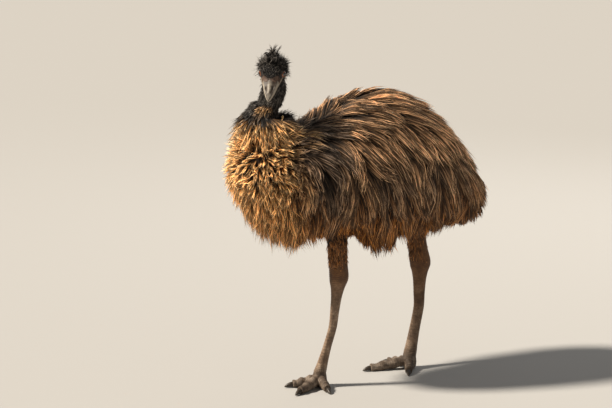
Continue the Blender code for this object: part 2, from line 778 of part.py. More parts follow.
def collar():
    """Locks of the ruff, which spring from the base of the neck and fall on to the breast and shoulders."""
    draw = np.random.default_rng(SEED + 2)
    made = []
    levels = [row[2] for row in NECK]
    for tier, (height, count, length, out) in enumerate(RUFF):
        left, ahead, half = (float(np.interp(height, levels, [row[j] for row in NECK])) for j in (0, 1, 3))
        for k in range(count):
            turn = 2 * math.pi * (k + 0.5 * (tier % 2) + draw.uniform(-0.15, 0.15)) / count
            radial = np.array([math.cos(turn), math.sin(turn), 0.0])
            size = length * draw.uniform(0.9, 1.15)
            points = [at(left, ahead, height) + radial * (half - 0.013)]
            for t in np.linspace(0, 1, 12, endpoint=False):
                way = unit(radial * (out + 0.4 * (1 - t)) + np.array([0, 0, -0.45 - 1.3 * t]))
                points.append(points[-1] + way * size / 12)
            points = np.array(points)
            rest = np.linspace(0.002, 0.040, 13)
            points = np.where((height_over(points) < rest)[:, None], lifted(points, rest, 0.0), points)
            ways = unit(np.gradient(points, axis=0))
            sides = unit(radial - ways * (ways @ radial)[:, None])
            made.append(lock(points, sides, 0.050, 0.008))
    return made


def neck_locks():
    """Short locks that lie down the neck."""
    made = []
    table = np.array(NECK)[::-1]
    for height, count in ((1.063, 8), (1.038, 9)):
        for k in range(count):
            turn = 2 * math.pi * (k + 0.5 * (height > 1.05)) / count
            radial = np.array([math.cos(turn), math.sin(turn), 0.0])
            levels = height - np.linspace(0, height - COLLAR_CUT - 0.006, 13)
            row = [np.interp(levels[::-1], table[::-1, 2], table[::-1, j])[::-1] for j in (0, 1, 3)]
            centre = np.stack([row[0], -row[1], levels], axis=1)
            points = centre + np.outer(row[2] - 0.006 + np.linspace(0, 0.013, 13), radial)
            made.append(lock(points, np.tile(radial, (13, 1)), 0.026, 0.006))
    return made


def crest():
    """The plumes of the crown, which rise in the middle and curl over to the sides and the nape."""
    draw = np.random.default_rng(SEED + 3)
    b, s, c = head_axes()
    made = []
    for ahead, count, length, stand in CREST:
        for k in range(count):
            side = (k - (count - 1) / 2) / ((count - 1) / 2)
            angle = side * math.radians(62)
            start = in_head(ahead, 0.033 * math.sin(angle), 0.001 + 0.030 * math.cos(angle))
            out = unit(s * math.sin(angle) + c * math.cos(angle))
            size = length * draw.uniform(0.85, 1.15)
            t = np.linspace(0, 1, 13)[:, None]
            rise = unit(out - b * 0.35 + UP * 0.4 * stand)
            aside = 1.1 * math.sin(angle) + draw.uniform(-0.3, 0.3)
            down = 0.9 - 0.9 * stand * (1 - abs(side))
            droop = unit(-b * 0.8 + s * aside - UP * down)
            ways = unit(rise * (1 - t) + droop * t)
            points = start + (np.cumsum(ways, axis=0) - ways[0]) * size / 12
            ways = unit(np.gradient(points, axis=0))
            sides = unit(out - ways * (ways @ out)[:, None])
            made.append(lock(points, sides, 0.016, 0.005))
    return made


def flank(ahead, height):
    """How far to the side the torso's core reaches at a point."""
    middle, half = (BODY_FRONT + BODY_BACK) / 2, (BODY_FRONT - BODY_BACK) / 2 - COAT
    t = (ahead - middle) / half
    mid, tall, wide = (float(through(ahead, STATIONS[:, 0], STATIONS[:, k])) for k in (1, 2, 3))
    rest = 1 - abs(t) ** BODY_ROUNDNESS - abs((height - mid) / (tall - COAT)) ** BODY_ROUNDNESS
    return (wide - COAT) * max(rest, 0.01) ** (1 / BODY_ROUNDNESS)


def wing_lobe(side, grow=0.0):
    """The small wing: a flattened lobe set into the flank behind the breast."""
    halves = np.array([row[2] for row in WING])
    thick = np.full(len(WING), WING_HALF_THICKNESS + grow)
    rings = rings_along(wing_path(side), halves + grow, thick, 8, (0, -1, 0.4))
    return loft(lengthened(rings, grow))


def wing(name, side):
    """A wing's lobe with the locks that spring from it."""
    return joined([wing_lobe(side)] + coat_of(name))


def tail_plane(level):
    """A point of the plane that parts the tail from the torso, and the way that it faces, down and back."""
    return at(0, level, 0.64), at(0, -math.cos(TAIL_LEAN), -math.sin(TAIL_LEAN))


def body_core(grow=0.0):
    """The body under the plumes, or a larger one as a cutter."""
    rings, ends = body_rings(18, 24, COAT - grow)
    return loft(rings, *ends)


def tail_core(grow=0.0):
    """The part of the core behind the tail's plane, or a larger one as a cutter."""
    place, way = tail_plane(TAIL_CUT - GAP / 2 + grow)
    return joined([body_core(grow)], [beyond(place, -way)])


def torso():
    """The core ahead of the tail, the base of the neck, locks and ruff, with sockets for its neighbours."""
    sockets = [loft(thigh_rings(leg, GAP)) for leg in (LEFT_LEG, RIGHT_LEG)]
    sockets += [wing_lobe(side, GAP) for side in (-1, 1)]
    sockets.append(tail_core(GAP))
    for name in ("wing_left", "wing_right", "tail"):
        sockets += coat_of(name, LOCK_CLEARANCE)
    base = joined([loft(neck_rings(16))], [over(COLLAR_CUT - GAP / 2)])
    core = joined([body_core(), base], [beyond(*tail_plane(TAIL_CUT + GAP / 2))])
    return joined([core] + coat_of("torso") + collar(), sockets)


def tail():
    """The hind end of the core with the locks that hang from it."""
    return joined([tail_core()] + coat_of("tail"))


def look(name, colour, roughness):
    """A plain material."""
    made = bpy.data.materials.new(name)
    made.use_nodes = True
    shader = made.node_tree.nodes["Principled BSDF"]
    shader.inputs["Base Color"].default_value = (*colour, 1)
    shader.inputs["Roughness"].default_value = roughness
    made.diffuse_color = (*colour, 1)
    return made


def node(name, mesh, group, colour, roughness):
    """Puts a mesh into the scene under its name and gives it its own material."""
    item = bpy.data.objects.new(name, mesh)
    item.location = STAND_AT
    mesh.name = name
    mesh.materials.append(look(name, colour, roughness))
    group.objects.link(item)


def build():
    """The whole bird, node by node."""
    clear_scene()
    group = bpy.data.collections.new("emu")
    bpy.context.scene.collection.children.link(group)
    node("torso", torso(), group, PLUMES, 0.85)
    node("tail", tail(), group, PLUMES, 0.85)
    node("neck", neck(), group, BLACK, 0.85)
    node("head", head(), group, BLACK, 0.80)
    node("bill_upper", upper_bill(), group, HORN, 0.45)
    node("bill_lower", lower_bill(), group, HORN, 0.50)
    b, s, c = head_axes()
    for name, side in (("left", 1), ("right", -1)):
        leg = LEFT_LEG if side == 1 else RIGHT_LEG
        eye = ball(eye_place(side), (EYE_RADIUS,) * 3, (b, c, s), 12, 8)
        node("eye_" + name, eye, group, IRIS, 0.08)
        node("wing_" + name, wing("wing_" + name, side), group, PLUMES, 0.85)
        node("thigh_" + name, thigh(leg), group, PLUMES, 0.85)
        node("shank_" + name, shank(leg), group, SCALES, 0.60)
        node("foot_" + name, foot(leg), group, SCALES, 0.65)
        for place, (angle, length) in zip(("inner", "middle", "outer"), leg["toes"]):
            node(f"claw_{name}_{place}", claw(leg, angle, length), group, CLAWS, 0.40)


build()
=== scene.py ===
"""The looks of a life-size emu: skin, plumage as solid strands, bill, eyes, claws and the stage.

Metres, +Z up. The bird faces -Y and its left side is +X. Most shapes are worked out about the bird's hips,
as points of (left, ahead, height), and moved by STAND_AT at the end, which puts the origin under its middle.
"""

import json
import math

import bpy
import numpy as np
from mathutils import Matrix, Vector

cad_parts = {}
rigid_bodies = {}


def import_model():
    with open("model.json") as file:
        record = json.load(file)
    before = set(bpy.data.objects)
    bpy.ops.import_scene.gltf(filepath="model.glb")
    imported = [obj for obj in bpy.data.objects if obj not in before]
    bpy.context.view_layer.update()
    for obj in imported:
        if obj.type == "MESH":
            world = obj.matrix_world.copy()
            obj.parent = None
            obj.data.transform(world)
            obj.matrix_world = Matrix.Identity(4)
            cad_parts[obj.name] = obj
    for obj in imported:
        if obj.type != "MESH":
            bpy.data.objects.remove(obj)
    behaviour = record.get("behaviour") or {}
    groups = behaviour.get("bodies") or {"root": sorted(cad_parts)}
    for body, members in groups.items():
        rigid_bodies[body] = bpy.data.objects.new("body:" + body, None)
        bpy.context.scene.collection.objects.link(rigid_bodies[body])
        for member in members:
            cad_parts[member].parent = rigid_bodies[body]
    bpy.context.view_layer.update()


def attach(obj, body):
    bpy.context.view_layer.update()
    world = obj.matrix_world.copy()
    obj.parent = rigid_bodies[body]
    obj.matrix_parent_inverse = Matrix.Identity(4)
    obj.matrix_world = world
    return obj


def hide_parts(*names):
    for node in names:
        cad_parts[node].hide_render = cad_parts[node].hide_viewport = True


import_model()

bl_info = {
    "name": "Emu dressing",
    "version": (1, 0, 0),
    "blender": (4, 5, 0),
    "location": "3D View > Sidebar > Emu",
    "description": "Builds the plumage, skin, bill, eyes and legs of a life-size emu and a plain stage",
    "category": "Object",
}

STAND_AT = np.array([0.001, 0.0305, 0.0])
UP = np.array([0.0, 0.0, 1.0])
SEED = 7

# The camera of the photo: which way it looks from, how far off it stands and what it aims at.
VIEW_TURN = math.radians(60)
VIEW_RISE = math.radians(11)
VIEW_DISTANCE = 7.5
PIXELS_PER_METRE = 280.0
IMAGE_WIDTH = 612
IMAGE_HEIGHT = 408
MIDDLE_OF_VIEW = (0.0, 0.0, 0.55)
MIDDLE_PIXEL = (363.5, 226.8)

# Torso, out to the tips of its plumes, and how far the skin lies inside them.
BODY_FRONT = 0.545
BODY_BACK = -0.498
BODY_ROUNDNESS = 2.25
COAT = 0.036
BODY_MIDDLE = (BODY_FRONT + BODY_BACK) / 2
BODY_HALF = (BODY_FRONT - BODY_BACK) / 2 - COAT
#            ahead, middle height, half height, half width
STATIONS = np.array([
    (-0.52, 0.600, 0.210, 0.200),
    (-0.42, 0.640, 0.205, 0.225),
    (-0.28, 0.715, 0.256, 0.250),
    (-0.10, 0.768, 0.290, 0.258),
    (0.08, 0.760, 0.278, 0.248),
    (0.20, 0.738, 0.246, 0.230),
    (0.30, 0.738, 0.244, 0.218),
    (0.40, 0.770, 0.256, 0.208),
    (0.55, 0.800, 0.232, 0.200),
])
# How far the belly's skin is drawn up under the plumes, between the legs and behind them.
BELLY_TUCK = 0.17
# The point that the breast's tufts spread from, as (left, ahead, height).
BREAST_WHORL = (0.068, 0.449, 0.873)
# Distances ahead between which the breast's tufts and the long plumes grow together.
BREAST_FROM = 0.305
LONG_PLUMES_TO = 0.345
#      ahead, height of the coat's hem on the bird's left
HEM_LEFT = np.array([
    (-0.50, 0.630), (-0.423, 0.584), (-0.352, 0.551), (-0.324, 0.532), (-0.278, 0.515), (-0.200, 0.500),
    (-0.072, 0.509), (-0.050, 0.455), (-0.022, 0.444), (0.027, 0.452), (0.060, 0.497), (0.097, 0.551),
    (0.133, 0.585), (0.155, 0.560), (0.200, 0.545), (0.250, 0.529), (0.300, 0.505), (0.360, 0.503),
    (0.390, 0.528), (0.430, 0.575), (0.478, 0.616), (0.52, 0.66),
])
#      ahead, height of the coat's hem on the bird's right
HEM_RIGHT = np.array([
    (-0.50, 0.610), (-0.38, 0.575), (-0.27, 0.580), (-0.18, 0.520), (-0.08, 0.480), (0.05, 0.485),
    (0.20, 0.530), (0.30, 0.535), (0.39, 0.505), (0.50, 0.560),
])

# Head: the middle of the eye line, where the bill points, and the sizes about that middle.
EYE_LINE = (0.034, 0.382, 1.128)
HEAD_TURN = math.radians(52)
HEAD_DROOP = math.radians(42)
EYE_RADIUS = 0.0130
EYE_OUT = 0.0353
BILL_BASE = 0.046
MOUTH_LEVEL = -0.0085
#        ahead, rise, half width, half height
SKULL = np.array([
    (-0.0500, 0.004, 0.0020, 0.0020),
    (-0.0470, 0.004, 0.0150, 0.0140),
    (-0.0400, 0.004, 0.0270, 0.0260),
    (-0.0260, 0.003, 0.0385, 0.0355),
    (-0.0100, 0.002, 0.0430, 0.0385),
    (0.0080, 0.000, 0.0420, 0.0360),
    (0.0240, -0.004, 0.0370, 0.0285),
    (0.0380, -0.007, 0.0315, 0.0218),
    (0.0470, -0.0075, 0.0285, 0.0190),
])
#        ahead, half width, top of the upper bill
UPPER_BILL = np.array([
    (0.0380, 0.0290, 0.0125),
    (0.0463, 0.0285, 0.0110),
    (0.058, 0.0250, 0.0102),
    (0.072, 0.0215, 0.0085),
    (0.086, 0.0170, 0.0055),
    (0.100, 0.0115, 0.0010),
    (0.109, 0.0068, -0.0040),
    (0.114, 0.0028, -0.0085),
    (0.116, 0.0003, -0.0130),
])
#        ahead, half width, bottom of the lower bill
LOWER_BILL = np.array([
    (0.0380, 0.0265, -0.0262),
    (0.0463, 0.0262, -0.0255),
    (0.060, 0.0220, -0.0230),
    (0.075, 0.0173, -0.0210),
    (0.090, 0.0120, -0.0197),
    (0.103, 0.0060, -0.0189),
    (0.108, 0.0025, -0.0184),
    (0.1095, 0.0003, -0.0178),
])

# Neck: centre line and half widths with its feathers, from inside the body to inside the head.
#        left, ahead, height, half width with feathers
NECK = np.array([
    (0.000, 0.320, 0.850, 0.095),
    (-0.008, 0.368, 0.910, 0.108),
    (-0.010, 0.392, 0.955, 0.101),
    (-0.007, 0.394, 0.985, 0.073),
    (0.004, 0.383, 1.012, 0.050),
    (0.012, 0.372, 1.042, 0.048),
    (0.018, 0.367, 1.070, 0.047),
    (0.019, 0.368, 1.100, 0.041),
    (0.022, 0.371, 1.118, 0.038),
])
# Which way the open side of the ruff and its tan patch face, turned from ahead to the bird's left.
RUFF_TURN = 0.55
PATCH_TURN = 0.95

# Legs: joints as (left, ahead, height), the foot's heading, how far the brown skin reaches below the hock,
# how far above it the feathers end, and each toe's angle and length.
LEGS = {
    "left": {
        "hip": (0.105, 0.085, 0.720), "knee": (0.090, 0.160, 0.580), "hock": (0.076, 0.142, 0.398),
        "shin": (0.064, 0.160, 0.215), "ankle": (0.042, 0.200, 0.048),
        "heading": 29, "brown": 0.13, "cuff": 0.030,
        "toes": (("inner", -18, 0.128), ("middle", 29, 0.160), ("outer", 79, 0.120)),
    },
    "right": {
        "hip": (-0.105, -0.190, 0.720), "knee": (-0.094, -0.262, 0.570), "hock": (-0.080, -0.288, 0.380),
        "shin": (-0.064, -0.274, 0.215), "ankle": (-0.022, -0.211, 0.048),
        "heading": -11, "brown": 0.30, "cuff": 0.000,
        "toes": (("inner", 57, 0.122), ("middle", -11, 0.182), ("outer", -62, 0.122)),
    },
}
TOE_HALF = 0.0165
CLAW_LENGTH = 0.030
# The length of one scute along the shank and along a toe.
SHANK_SCUTE = 0.0115
TOE_SCUTE = 0.0078

# Heights at which the skin under the coat gives way to the face's skin and to the legs' scales.
FACE_FROM = 1.03
SCALES_BELOW = 0.52

# The black skin of neck and face, from its darker to its paler blotches.
BLACK_SKIN = (0.3, "#0C0B0C"), (0.7, "#1B1A1C")

# Strands: how thick each is for its width, and how many of them are pale.
STRAND_THICKNESS = 0.42
PALE_SHARE = 0.34


class EmuSizes(bpy.types.PropertyGroup):
    """Sizes of the plumage"""

    plume_length: bpy.props.FloatProperty(
        name="Plume length",
        description="Length of the longest plumes, on the back and flanks",
        default=0.185,
        unit="LENGTH",
    )
    strand_width: bpy.props.FloatProperty(
        name="Strand width",
        description="Width of one strand of a plume",
        default=0.0037,
        unit="LENGTH",
    )
    clump_spacing: bpy.props.FloatProperty(
        name="Plume spacing",
        description="Distance between the roots of neighbouring plumes",
        default=0.0185,
        unit="LENGTH",
    )
    tuft_spacing: bpy.props.FloatProperty(
        name="Tuft spacing",
        description="Distance between the roots of the breast's tufts",
        default=0.0106,
        unit="LENGTH",
    )
    lock_spacing: bpy.props.FloatProperty(
        name="Lock spacing",
        description="Distance between the locks that the plumes gather into",
        default=0.055,
        unit="LENGTH",
    )
    strands_per_plume: bpy.props.IntProperty(
        name="Strands in a plume", description="How many strands each plume is made of", default=11
    )


class EmuColours(bpy.types.PropertyGroup):
    """Colours of feathers, scales, bill and iris"""

    plume_middle: bpy.props.StringProperty(
        name="Plume middle", description="sRGB hex of a back plume before its tip", default="#8C6C4F"
    )
    plume_tip: bpy.props.StringProperty(
        name="Plume tip", description="sRGB hex at a back plume's tip", default="#CCA782"
    )
    breast: bpy.props.StringProperty(
        name="Breast", description="sRGB hex of the breast's outer plumes", default="#C99D66"
    )
    neck: bpy.props.StringProperty(
        name="Neck", description="sRGB hex of the neck's and head's feathers", default="#191614"
    )
    scales: bpy.props.StringProperty(
        name="Legs", description="sRGB hex of the scales on the legs", default="#8C735C"
    )
    bill: bpy.props.StringProperty(
        name="Bill", description="sRGB hex of the bill", default="#8A8378"
    )
    iris: bpy.props.StringProperty(
        name="Iris", description="sRGB hex of the iris", default="#7E4318"
    )


def at(left, ahead, height):
    """A point, or a direction, from its distances to the bird's left, ahead and up."""
    return np.array([left, -ahead, height], float)


def unit(v):
    """Vectors brought to length 1."""
    v = np.asarray(v, float)
    return v / np.maximum(np.linalg.norm(v, axis=-1, keepdims=True), 1e-12)


def rgb(hex_code):
    """Linear colour from an sRGB hex code, as the shader sockets take it."""
    parts = [int(hex_code[i : i + 2], 16) / 255 for i in (1, 3, 5)]
    return tuple(v / 12.92 if v <= 0.04045 else ((v + 0.055) / 1.055) ** 2.4 for v in parts) + (1.0,)


def through(x, knots, values):
    """A smooth curve through the knots: cubic pieces whose slopes are the central differences."""
    slopes = np.gradient(values, knots)
    i = np.clip(np.searchsorted(knots, x) - 1, 0, len(knots) - 2)
    step = knots[i + 1] - knots[i]
    t = np.clip((x - knots[i]) / step, 0, 1)
    return (
        (2 * t**3 - 3 * t**2 + 1) * values[i]
        + (t**3 - 2 * t**2 + t) * step * slopes[i]
        + (3 * t**2 - 2 * t**3) * values[i + 1]
        + (t**3 - t**2) * step * slopes[i + 1]
    )


def ramp(x, low, high):
    """A smooth step from 0 at low to 1 at high, which may run either way."""
    t = np.clip((x - low) / (high - low), 0, 1)
    return t * t * (3 - 2 * t)


def hump(x, middle, width):
    """A bell of height 1: e to the power of minus the square of the distance from its middle in widths."""
    return np.exp(-(((x - middle) / width) ** 2))


def turns(count):
    """Angles evenly spaced round a circle."""
    return np.linspace(0, 2 * math.pi, count, endpoint=False)


def heading_axes(degrees):
    """The level ways ahead of and to the left of a heading, which is turned from ahead to the bird's left."""
    turn = math.radians(degrees)
    return at(math.sin(turn), math.cos(turn), 0), at(math.cos(turn), -math.sin(turn), 0)


def waves(p, size, seed):
    """A smooth noise of about -1 to 1 over points in space: a sum of sine waves in random directions."""
    draw = np.random.default_rng(seed)
    total = 0.0
    for _ in range(7):
        way = unit(draw.normal(size=3)) * draw.uniform(0.7, 1.4) * 2 * math.pi / size
        total = total + np.sin(p @ way + draw.uniform(0, 2 * math.pi))
    return total / 3.0


# Meshes


def mesh_piece(name, points, faces, material):
    """An object made of whole arrays: points in the bird's own frame and faces of three corners."""
    mesh = bpy.data.meshes.new(name)
    points = np.asarray(points, float) + STAND_AT
    mesh.vertices.add(len(points))
    mesh.vertices.foreach_set("co", points.astype(np.float32).ravel())
    corners = faces.shape[1]
    mesh.loops.add(faces.size)
    mesh.loops.foreach_set("vertex_index", faces.astype(np.int32).ravel())
    mesh.polygons.add(len(faces))
    mesh.polygons.foreach_set("loop_start", np.arange(0, faces.size, corners, dtype=np.int32))
    mesh.update(calc_edges=True)
    mesh.polygons.foreach_set("use_smooth", np.full(len(faces), True))
    mesh.materials.append(material)
    item = bpy.data.objects.new(name, mesh)
    bpy.context.scene.collection.objects.link(item)
    return item


def set_values(item, name, values):
    """An attribute with one number for each vertex."""
    layer = item.data.attributes.new(name, "FLOAT", "POINT")
    layer.data.foreach_set("value", np.asarray(values, np.float32).ravel())


def set_map(item, name, uv):
    """A UV map from one place for each vertex."""
    layer = item.data.uv_layers.new(name=name)
    index = np.zeros(len(item.data.loops), np.int32)
    item.data.loops.foreach_get("vertex_index", index)
    layer.data.foreach_set("uv", np.asarray(uv, np.float32)[index].ravel())


def grid_faces(rows, columns):
    """Four-cornered faces over a grid of points whose rows are closed rings."""
    r = np.arange(rows - 1)[:, None]
    c = np.arange(columns)[None, :]
    n = (c + 1) % columns
    low, high = r * columns, (r + 1) * columns
    return np.stack([low + c, low + n, high + n, high + c], axis=-1).reshape(-1, 4)


def rings_along(centres, wide, deep, sides, side_axis):
    """Oval rings square to a path, as one array of rings by sides by three."""
    ways = unit(np.gradient(centres, axis=0))
    turn = turns(sides)
    side = np.broadcast_to(side_axis, ways.shape)
    across = unit(side - ways * np.sum(side * ways, axis=1, keepdims=True))
    other = np.cross(ways, across)
    return (
        centres[:, None]
        + (np.cos(turn)[None, :] * wide[:, None])[..., None] * across[:, None]
        + (np.sin(turn)[None, :] * deep[:, None])[..., None] * other[:, None]
    )


def closed_loft(rings):
    """A grid of rings with both ends closed by a point at their middle, as points and triangles."""
    rows, sides = rings.shape[:2]
    points = np.concatenate([rings.reshape(-1, 3), rings[0].mean(axis=0)[None], rings[-1].mean(axis=0)[None]])
    quad = grid_faces(rows, sides)
    faces = np.concatenate([quad[:, [0, 1, 2]], quad[:, [0, 2, 3]]])
    c = np.arange(sides)
    n = (c + 1) % sides
    start = np.stack([n, c, np.full(sides, rows * sides)], axis=1)
    end = np.stack([(rows - 1) * sides + c, (rows - 1) * sides + n, np.full(sides, rows * sides + 1)], axis=1)
    return points, np.concatenate([faces, start, end])


def with_ends(values):
    """A grid's values, and those of the points that close its ends: the means of its first and last row."""
    return np.concatenate([values.ravel(), [values[0].mean(), values[-1].mean()]])


def outward(points, faces):
    """The faces turned so that they face out of the closed shape."""
    a, b, c = points[faces[:, 0]], points[faces[:, 1]], points[faces[:, 2]]
    return faces if np.sum(a * np.cross(b, c)) > 0 else faces[:, ::-1]


def plain_object(name, points, faces):
    """A closed shape, in the bird's own frame, that a later step fuses with others."""
    mesh = bpy.data.meshes.new(name)
    mesh.from_pydata(points, [], outward(points, faces))
    item = bpy.data.objects.new(name, mesh)
    bpy.context.scene.collection.objects.link(item)
    return item


def applied(item, kind, **settings):
    """The object with a modifier applied to its mesh."""
    step = item.modifiers.new("step", kind)
    for key, value in settings.items():
        setattr(step, key, value)
    graph = bpy.context.evaluated_depsgraph_get()
    mesh = bpy.data.meshes.new_from_object(item.evaluated_get(graph))
    item.modifiers.clear()
    item.data = mesh
    return item


def mesh_points(mesh, kind="co"):
    """The places of a mesh's vertices, or their normals."""
    values = np.zeros(len(mesh.vertices) * 3, np.float32)
    mesh.vertices.foreach_get(kind, values)
    return values.reshape(-1, 3).astype(float)


def merged(parts):
    """Several (points, faces) pairs as one."""
    points, faces, start = [], [], 0
    for p, f in parts:
        points.append(p.reshape(-1, 3))
        faces.append(f + start)
        start += len(points[-1])
    return np.concatenate(points), np.concatenate(faces)


def ride(item, slot, *nodes):
    """Lets a piece ride on the body and hides the nodes that it stands for. The slot is not used."""
    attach(item, "root")
    if nodes:
        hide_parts(*nodes)
    return item


# Torso


def torso_sizes(ahead):
    """The torso's middle height, half height and half width at distances ahead: smooth curves of STATIONS."""
    return [through(ahead, STATIONS[:, 0], STATIONS[:, k]) for k in (1, 2, 3)]


def belly_tuck(ahead):
    """The share of its half height that the torso's lower skin keeps, less under the belly."""
    return 1 - BELLY_TUCK * ramp(ahead, 0.36, 0.20) * ramp(ahead, -0.46, -0.34)


def torso_level(p):
    """A measure that is 1 on the torso's skin, less inside it and more outside.

    It is a rounded box's: the shares of the half length, half width and half height, each raised to the
    power of the roundness, added, and brought back by its root.
    """
    ahead = -p[..., 1]
    mid, tall, wide = torso_sizes(ahead)
    rise = (p[..., 2] - mid) / (tall - COAT)
    rise = np.where(rise < 0, rise / belly_tuck(ahead), rise)
    parts = ((ahead - BODY_MIDDLE) / BODY_HALF, p[..., 0] / (wide - COAT), rise)
    return sum(np.abs(q) ** BODY_ROUNDNESS for q in parts) ** (1 / BODY_ROUNDNESS)


def torso_slope(p):
    """The slope of that measure along each axis, from its difference over a short step either way."""
    step = 0.002
    moves = np.eye(3) * step
    return np.stack([(torso_level(p + m) - torso_level(p - m)) / (2 * step) for m in moves], axis=-1)


def lifted(p, height, hang):
    """Points moved along the surface's normal to a height over the skin, or left out where they hang."""
    for _ in range(2):
        slope = torso_slope(p)
        size = np.maximum(np.linalg.norm(slope, axis=-1), 1e-6)
        miss = height - (torso_level(p) - 1) / size
        miss = np.where(miss < 0, miss * (1 - hang), miss)
        p = p + slope / size[..., None] * np.clip(miss, -0.05, 0.05)[..., None]
    return p


def hem_height(p):
    """The height that the coat's tips reach down to: it hangs in lobes and is cut away round each leg."""
    ahead = -p[:, 1]
    left = np.interp(ahead, HEM_LEFT[:, 0], HEM_LEFT[:, 1])
    right = np.interp(ahead, HEM_RIGHT[:, 0], HEM_RIGHT[:, 1])
    share = ramp(p[:, 0], -0.05, 0.05)
    arch = 0.030 * ramp(np.abs(p[:, 0]), 0.14, 0.04) * ramp(ahead, 0.36, 0.25)
    return left * share + right * (1 - share) + arch


def lie(p):
    """The way that the plumes lie at points on the torso, and how freely they hang there.

    They part along the spine and sweep back and down over the flanks, spread from a whorl on the
    breast, fall straight on the rump, and hang free under the belly.
    """
    ahead = -p[..., 1]
    mid, tall, _ = torso_sizes(ahead)
    rise = (p[..., 2] - mid) / tall
    fall = np.interp(rise, (-0.6, -0.2, 0.3, 0.7, 1.0), np.radians((88, 74, 58, 38, 18)))
    fall = fall + ramp(ahead, 0.24, 0.45) * (math.radians(84) - fall)
    aside = np.sign(p[..., 0]) * np.clip(rise, 0, 1) * 0.35
    way = np.stack([aside, np.cos(fall), -np.sin(fall)], axis=-1)
    away = p - at(*BREAST_WHORL)
    far = np.linalg.norm(away, axis=-1)
    pull = 0.9 * ramp(far, 0.26, 0.06)
    way = way * (1 - pull)[..., None] + unit(away) * pull[..., None]
    normal = unit(torso_slope(p))
    flat = way - normal * np.sum(way * normal, axis=-1, keepdims=True)
    hang = np.clip((-0.25 - rise) / 0.45, 0, 1)
    return unit(unit(flat) * (1 - hang[..., None]) + np.array([0, 0, -1.0]) * hang[..., None]), hang


def profile_run():
    """The torso's rounded profile: places along its axis and the arc length up to each, front to back."""
    a = np.linspace(0, math.pi, 400)
    t = np.cos(a)
    out = 0.21 * (1 - np.abs(t) ** BODY_ROUNDNESS) ** (1 / BODY_ROUNDNESS)
    return t, np.concatenate([[0], np.cumsum(np.hypot(np.diff(BODY_HALF * t), np.diff(out)))])


def torso_roots(spacing, draw):
    """Scattered root points over the torso's skin with their places on its unwrap."""
    t_table, run = profile_run()
    points, places = [], []
    for reach in np.arange(spacing * 0.5, run[-1], spacing):
        t = float(np.interp(reach, run, t_table))
        ahead = BODY_MIDDLE + BODY_HALF * t
        size = (1 - abs(t) ** BODY_ROUNDNESS) ** (1 / BODY_ROUNDNESS)
        mid, tall, wide = (float(v) for v in torso_sizes(ahead))
        a, b = (wide - COAT) * size, (tall - COAT) * size
        girth = math.pi * (3 * (a + b) - math.sqrt((3 * a + b) * (a + 3 * b)))
        count = max(3, int(girth / spacing))
        turn = 2 * math.pi * (np.arange(count) + draw.uniform(-0.45, 0.45, count) + draw.uniform()) / count
        shift = draw.uniform(-0.45, 0.45, count) * spacing
        x, z = a * np.cos(turn), mid + b * np.sin(turn)
        points.append(np.stack([x, -(ahead + shift * math.sqrt(max(0.05, 1 - t * t))), z], axis=1))
        around = (turn / (2 * math.pi) + 0.25) % 1.0
        places.append(np.stack([0.02 + 0.56 * around, np.full(count, 0.02 + 0.96 * reach / run[-1])], axis=1))
    points = lifted(np.concatenate(points), 0.0, 0.0)
    return points, np.concatenate(places)


def torso_paths(roots, length, deep, height, curl, steps=12):
    """Middle lines of plumes that start under the skin and rise along the lie of the coat to their tips."""
    p, points, sides = roots, [], []
    for k in range(steps + 1):
        t = k / steps
        way, hang = lie(p)
        p = lifted(p, -deep + (deep + height) * t**0.9, hang)
        normal = unit(torso_slope(p))
        aside = np.stack([np.sign(p[:, 0]) * 0.9, np.full(len(p), -0.2), np.zeros(len(p))], axis=1)
        side = unit(normal + hang[:, None] * aside)
        points.append(p)
        sides.append(side)
        across = np.cross(side, way)
        p = p + unit(way + across * (curl * t)[:, None]) * (length / steps)[:, None]
    return np.stack(points, axis=1), np.stack(sides, axis=1)


# Strands


def along_path(paths, t):
    """Points at shares t of each path: paths is (n, steps, 3) and t is (n, m)."""
    last = paths.shape[1] - 1
    x = np.clip(t, 0, 1) * last
    i = np.minimum(x.astype(int), last - 1)
    part = (x - i)[..., None]
    rows = np.arange(len(paths))[:, None]
    return paths[rows, i] * (1 - part) + paths[rows, i + 1] * part


def straight_paths(roots, normals, ways, length, lift, droop, curl, steps=8):
    """Short curved middle lines: a straight run lifted off the surface, and a bend with the share squared."""
    t = np.linspace(0, 1, steps + 1)[None, :, None]
    across = np.cross(normals, ways)
    start = roots - normals * 0.003
    run = ways * np.cos(lift)[:, None] + normals * np.sin(lift)[:, None]
    bend = droop[:, None] * -UP + across * curl[:, None]
    paths = start[:, None] + length[:, None, None] * (run[:, None] * t + bend[:, None] * t**2 * 0.5)
    return paths, np.repeat(normals[:, None], steps + 1, axis=1)


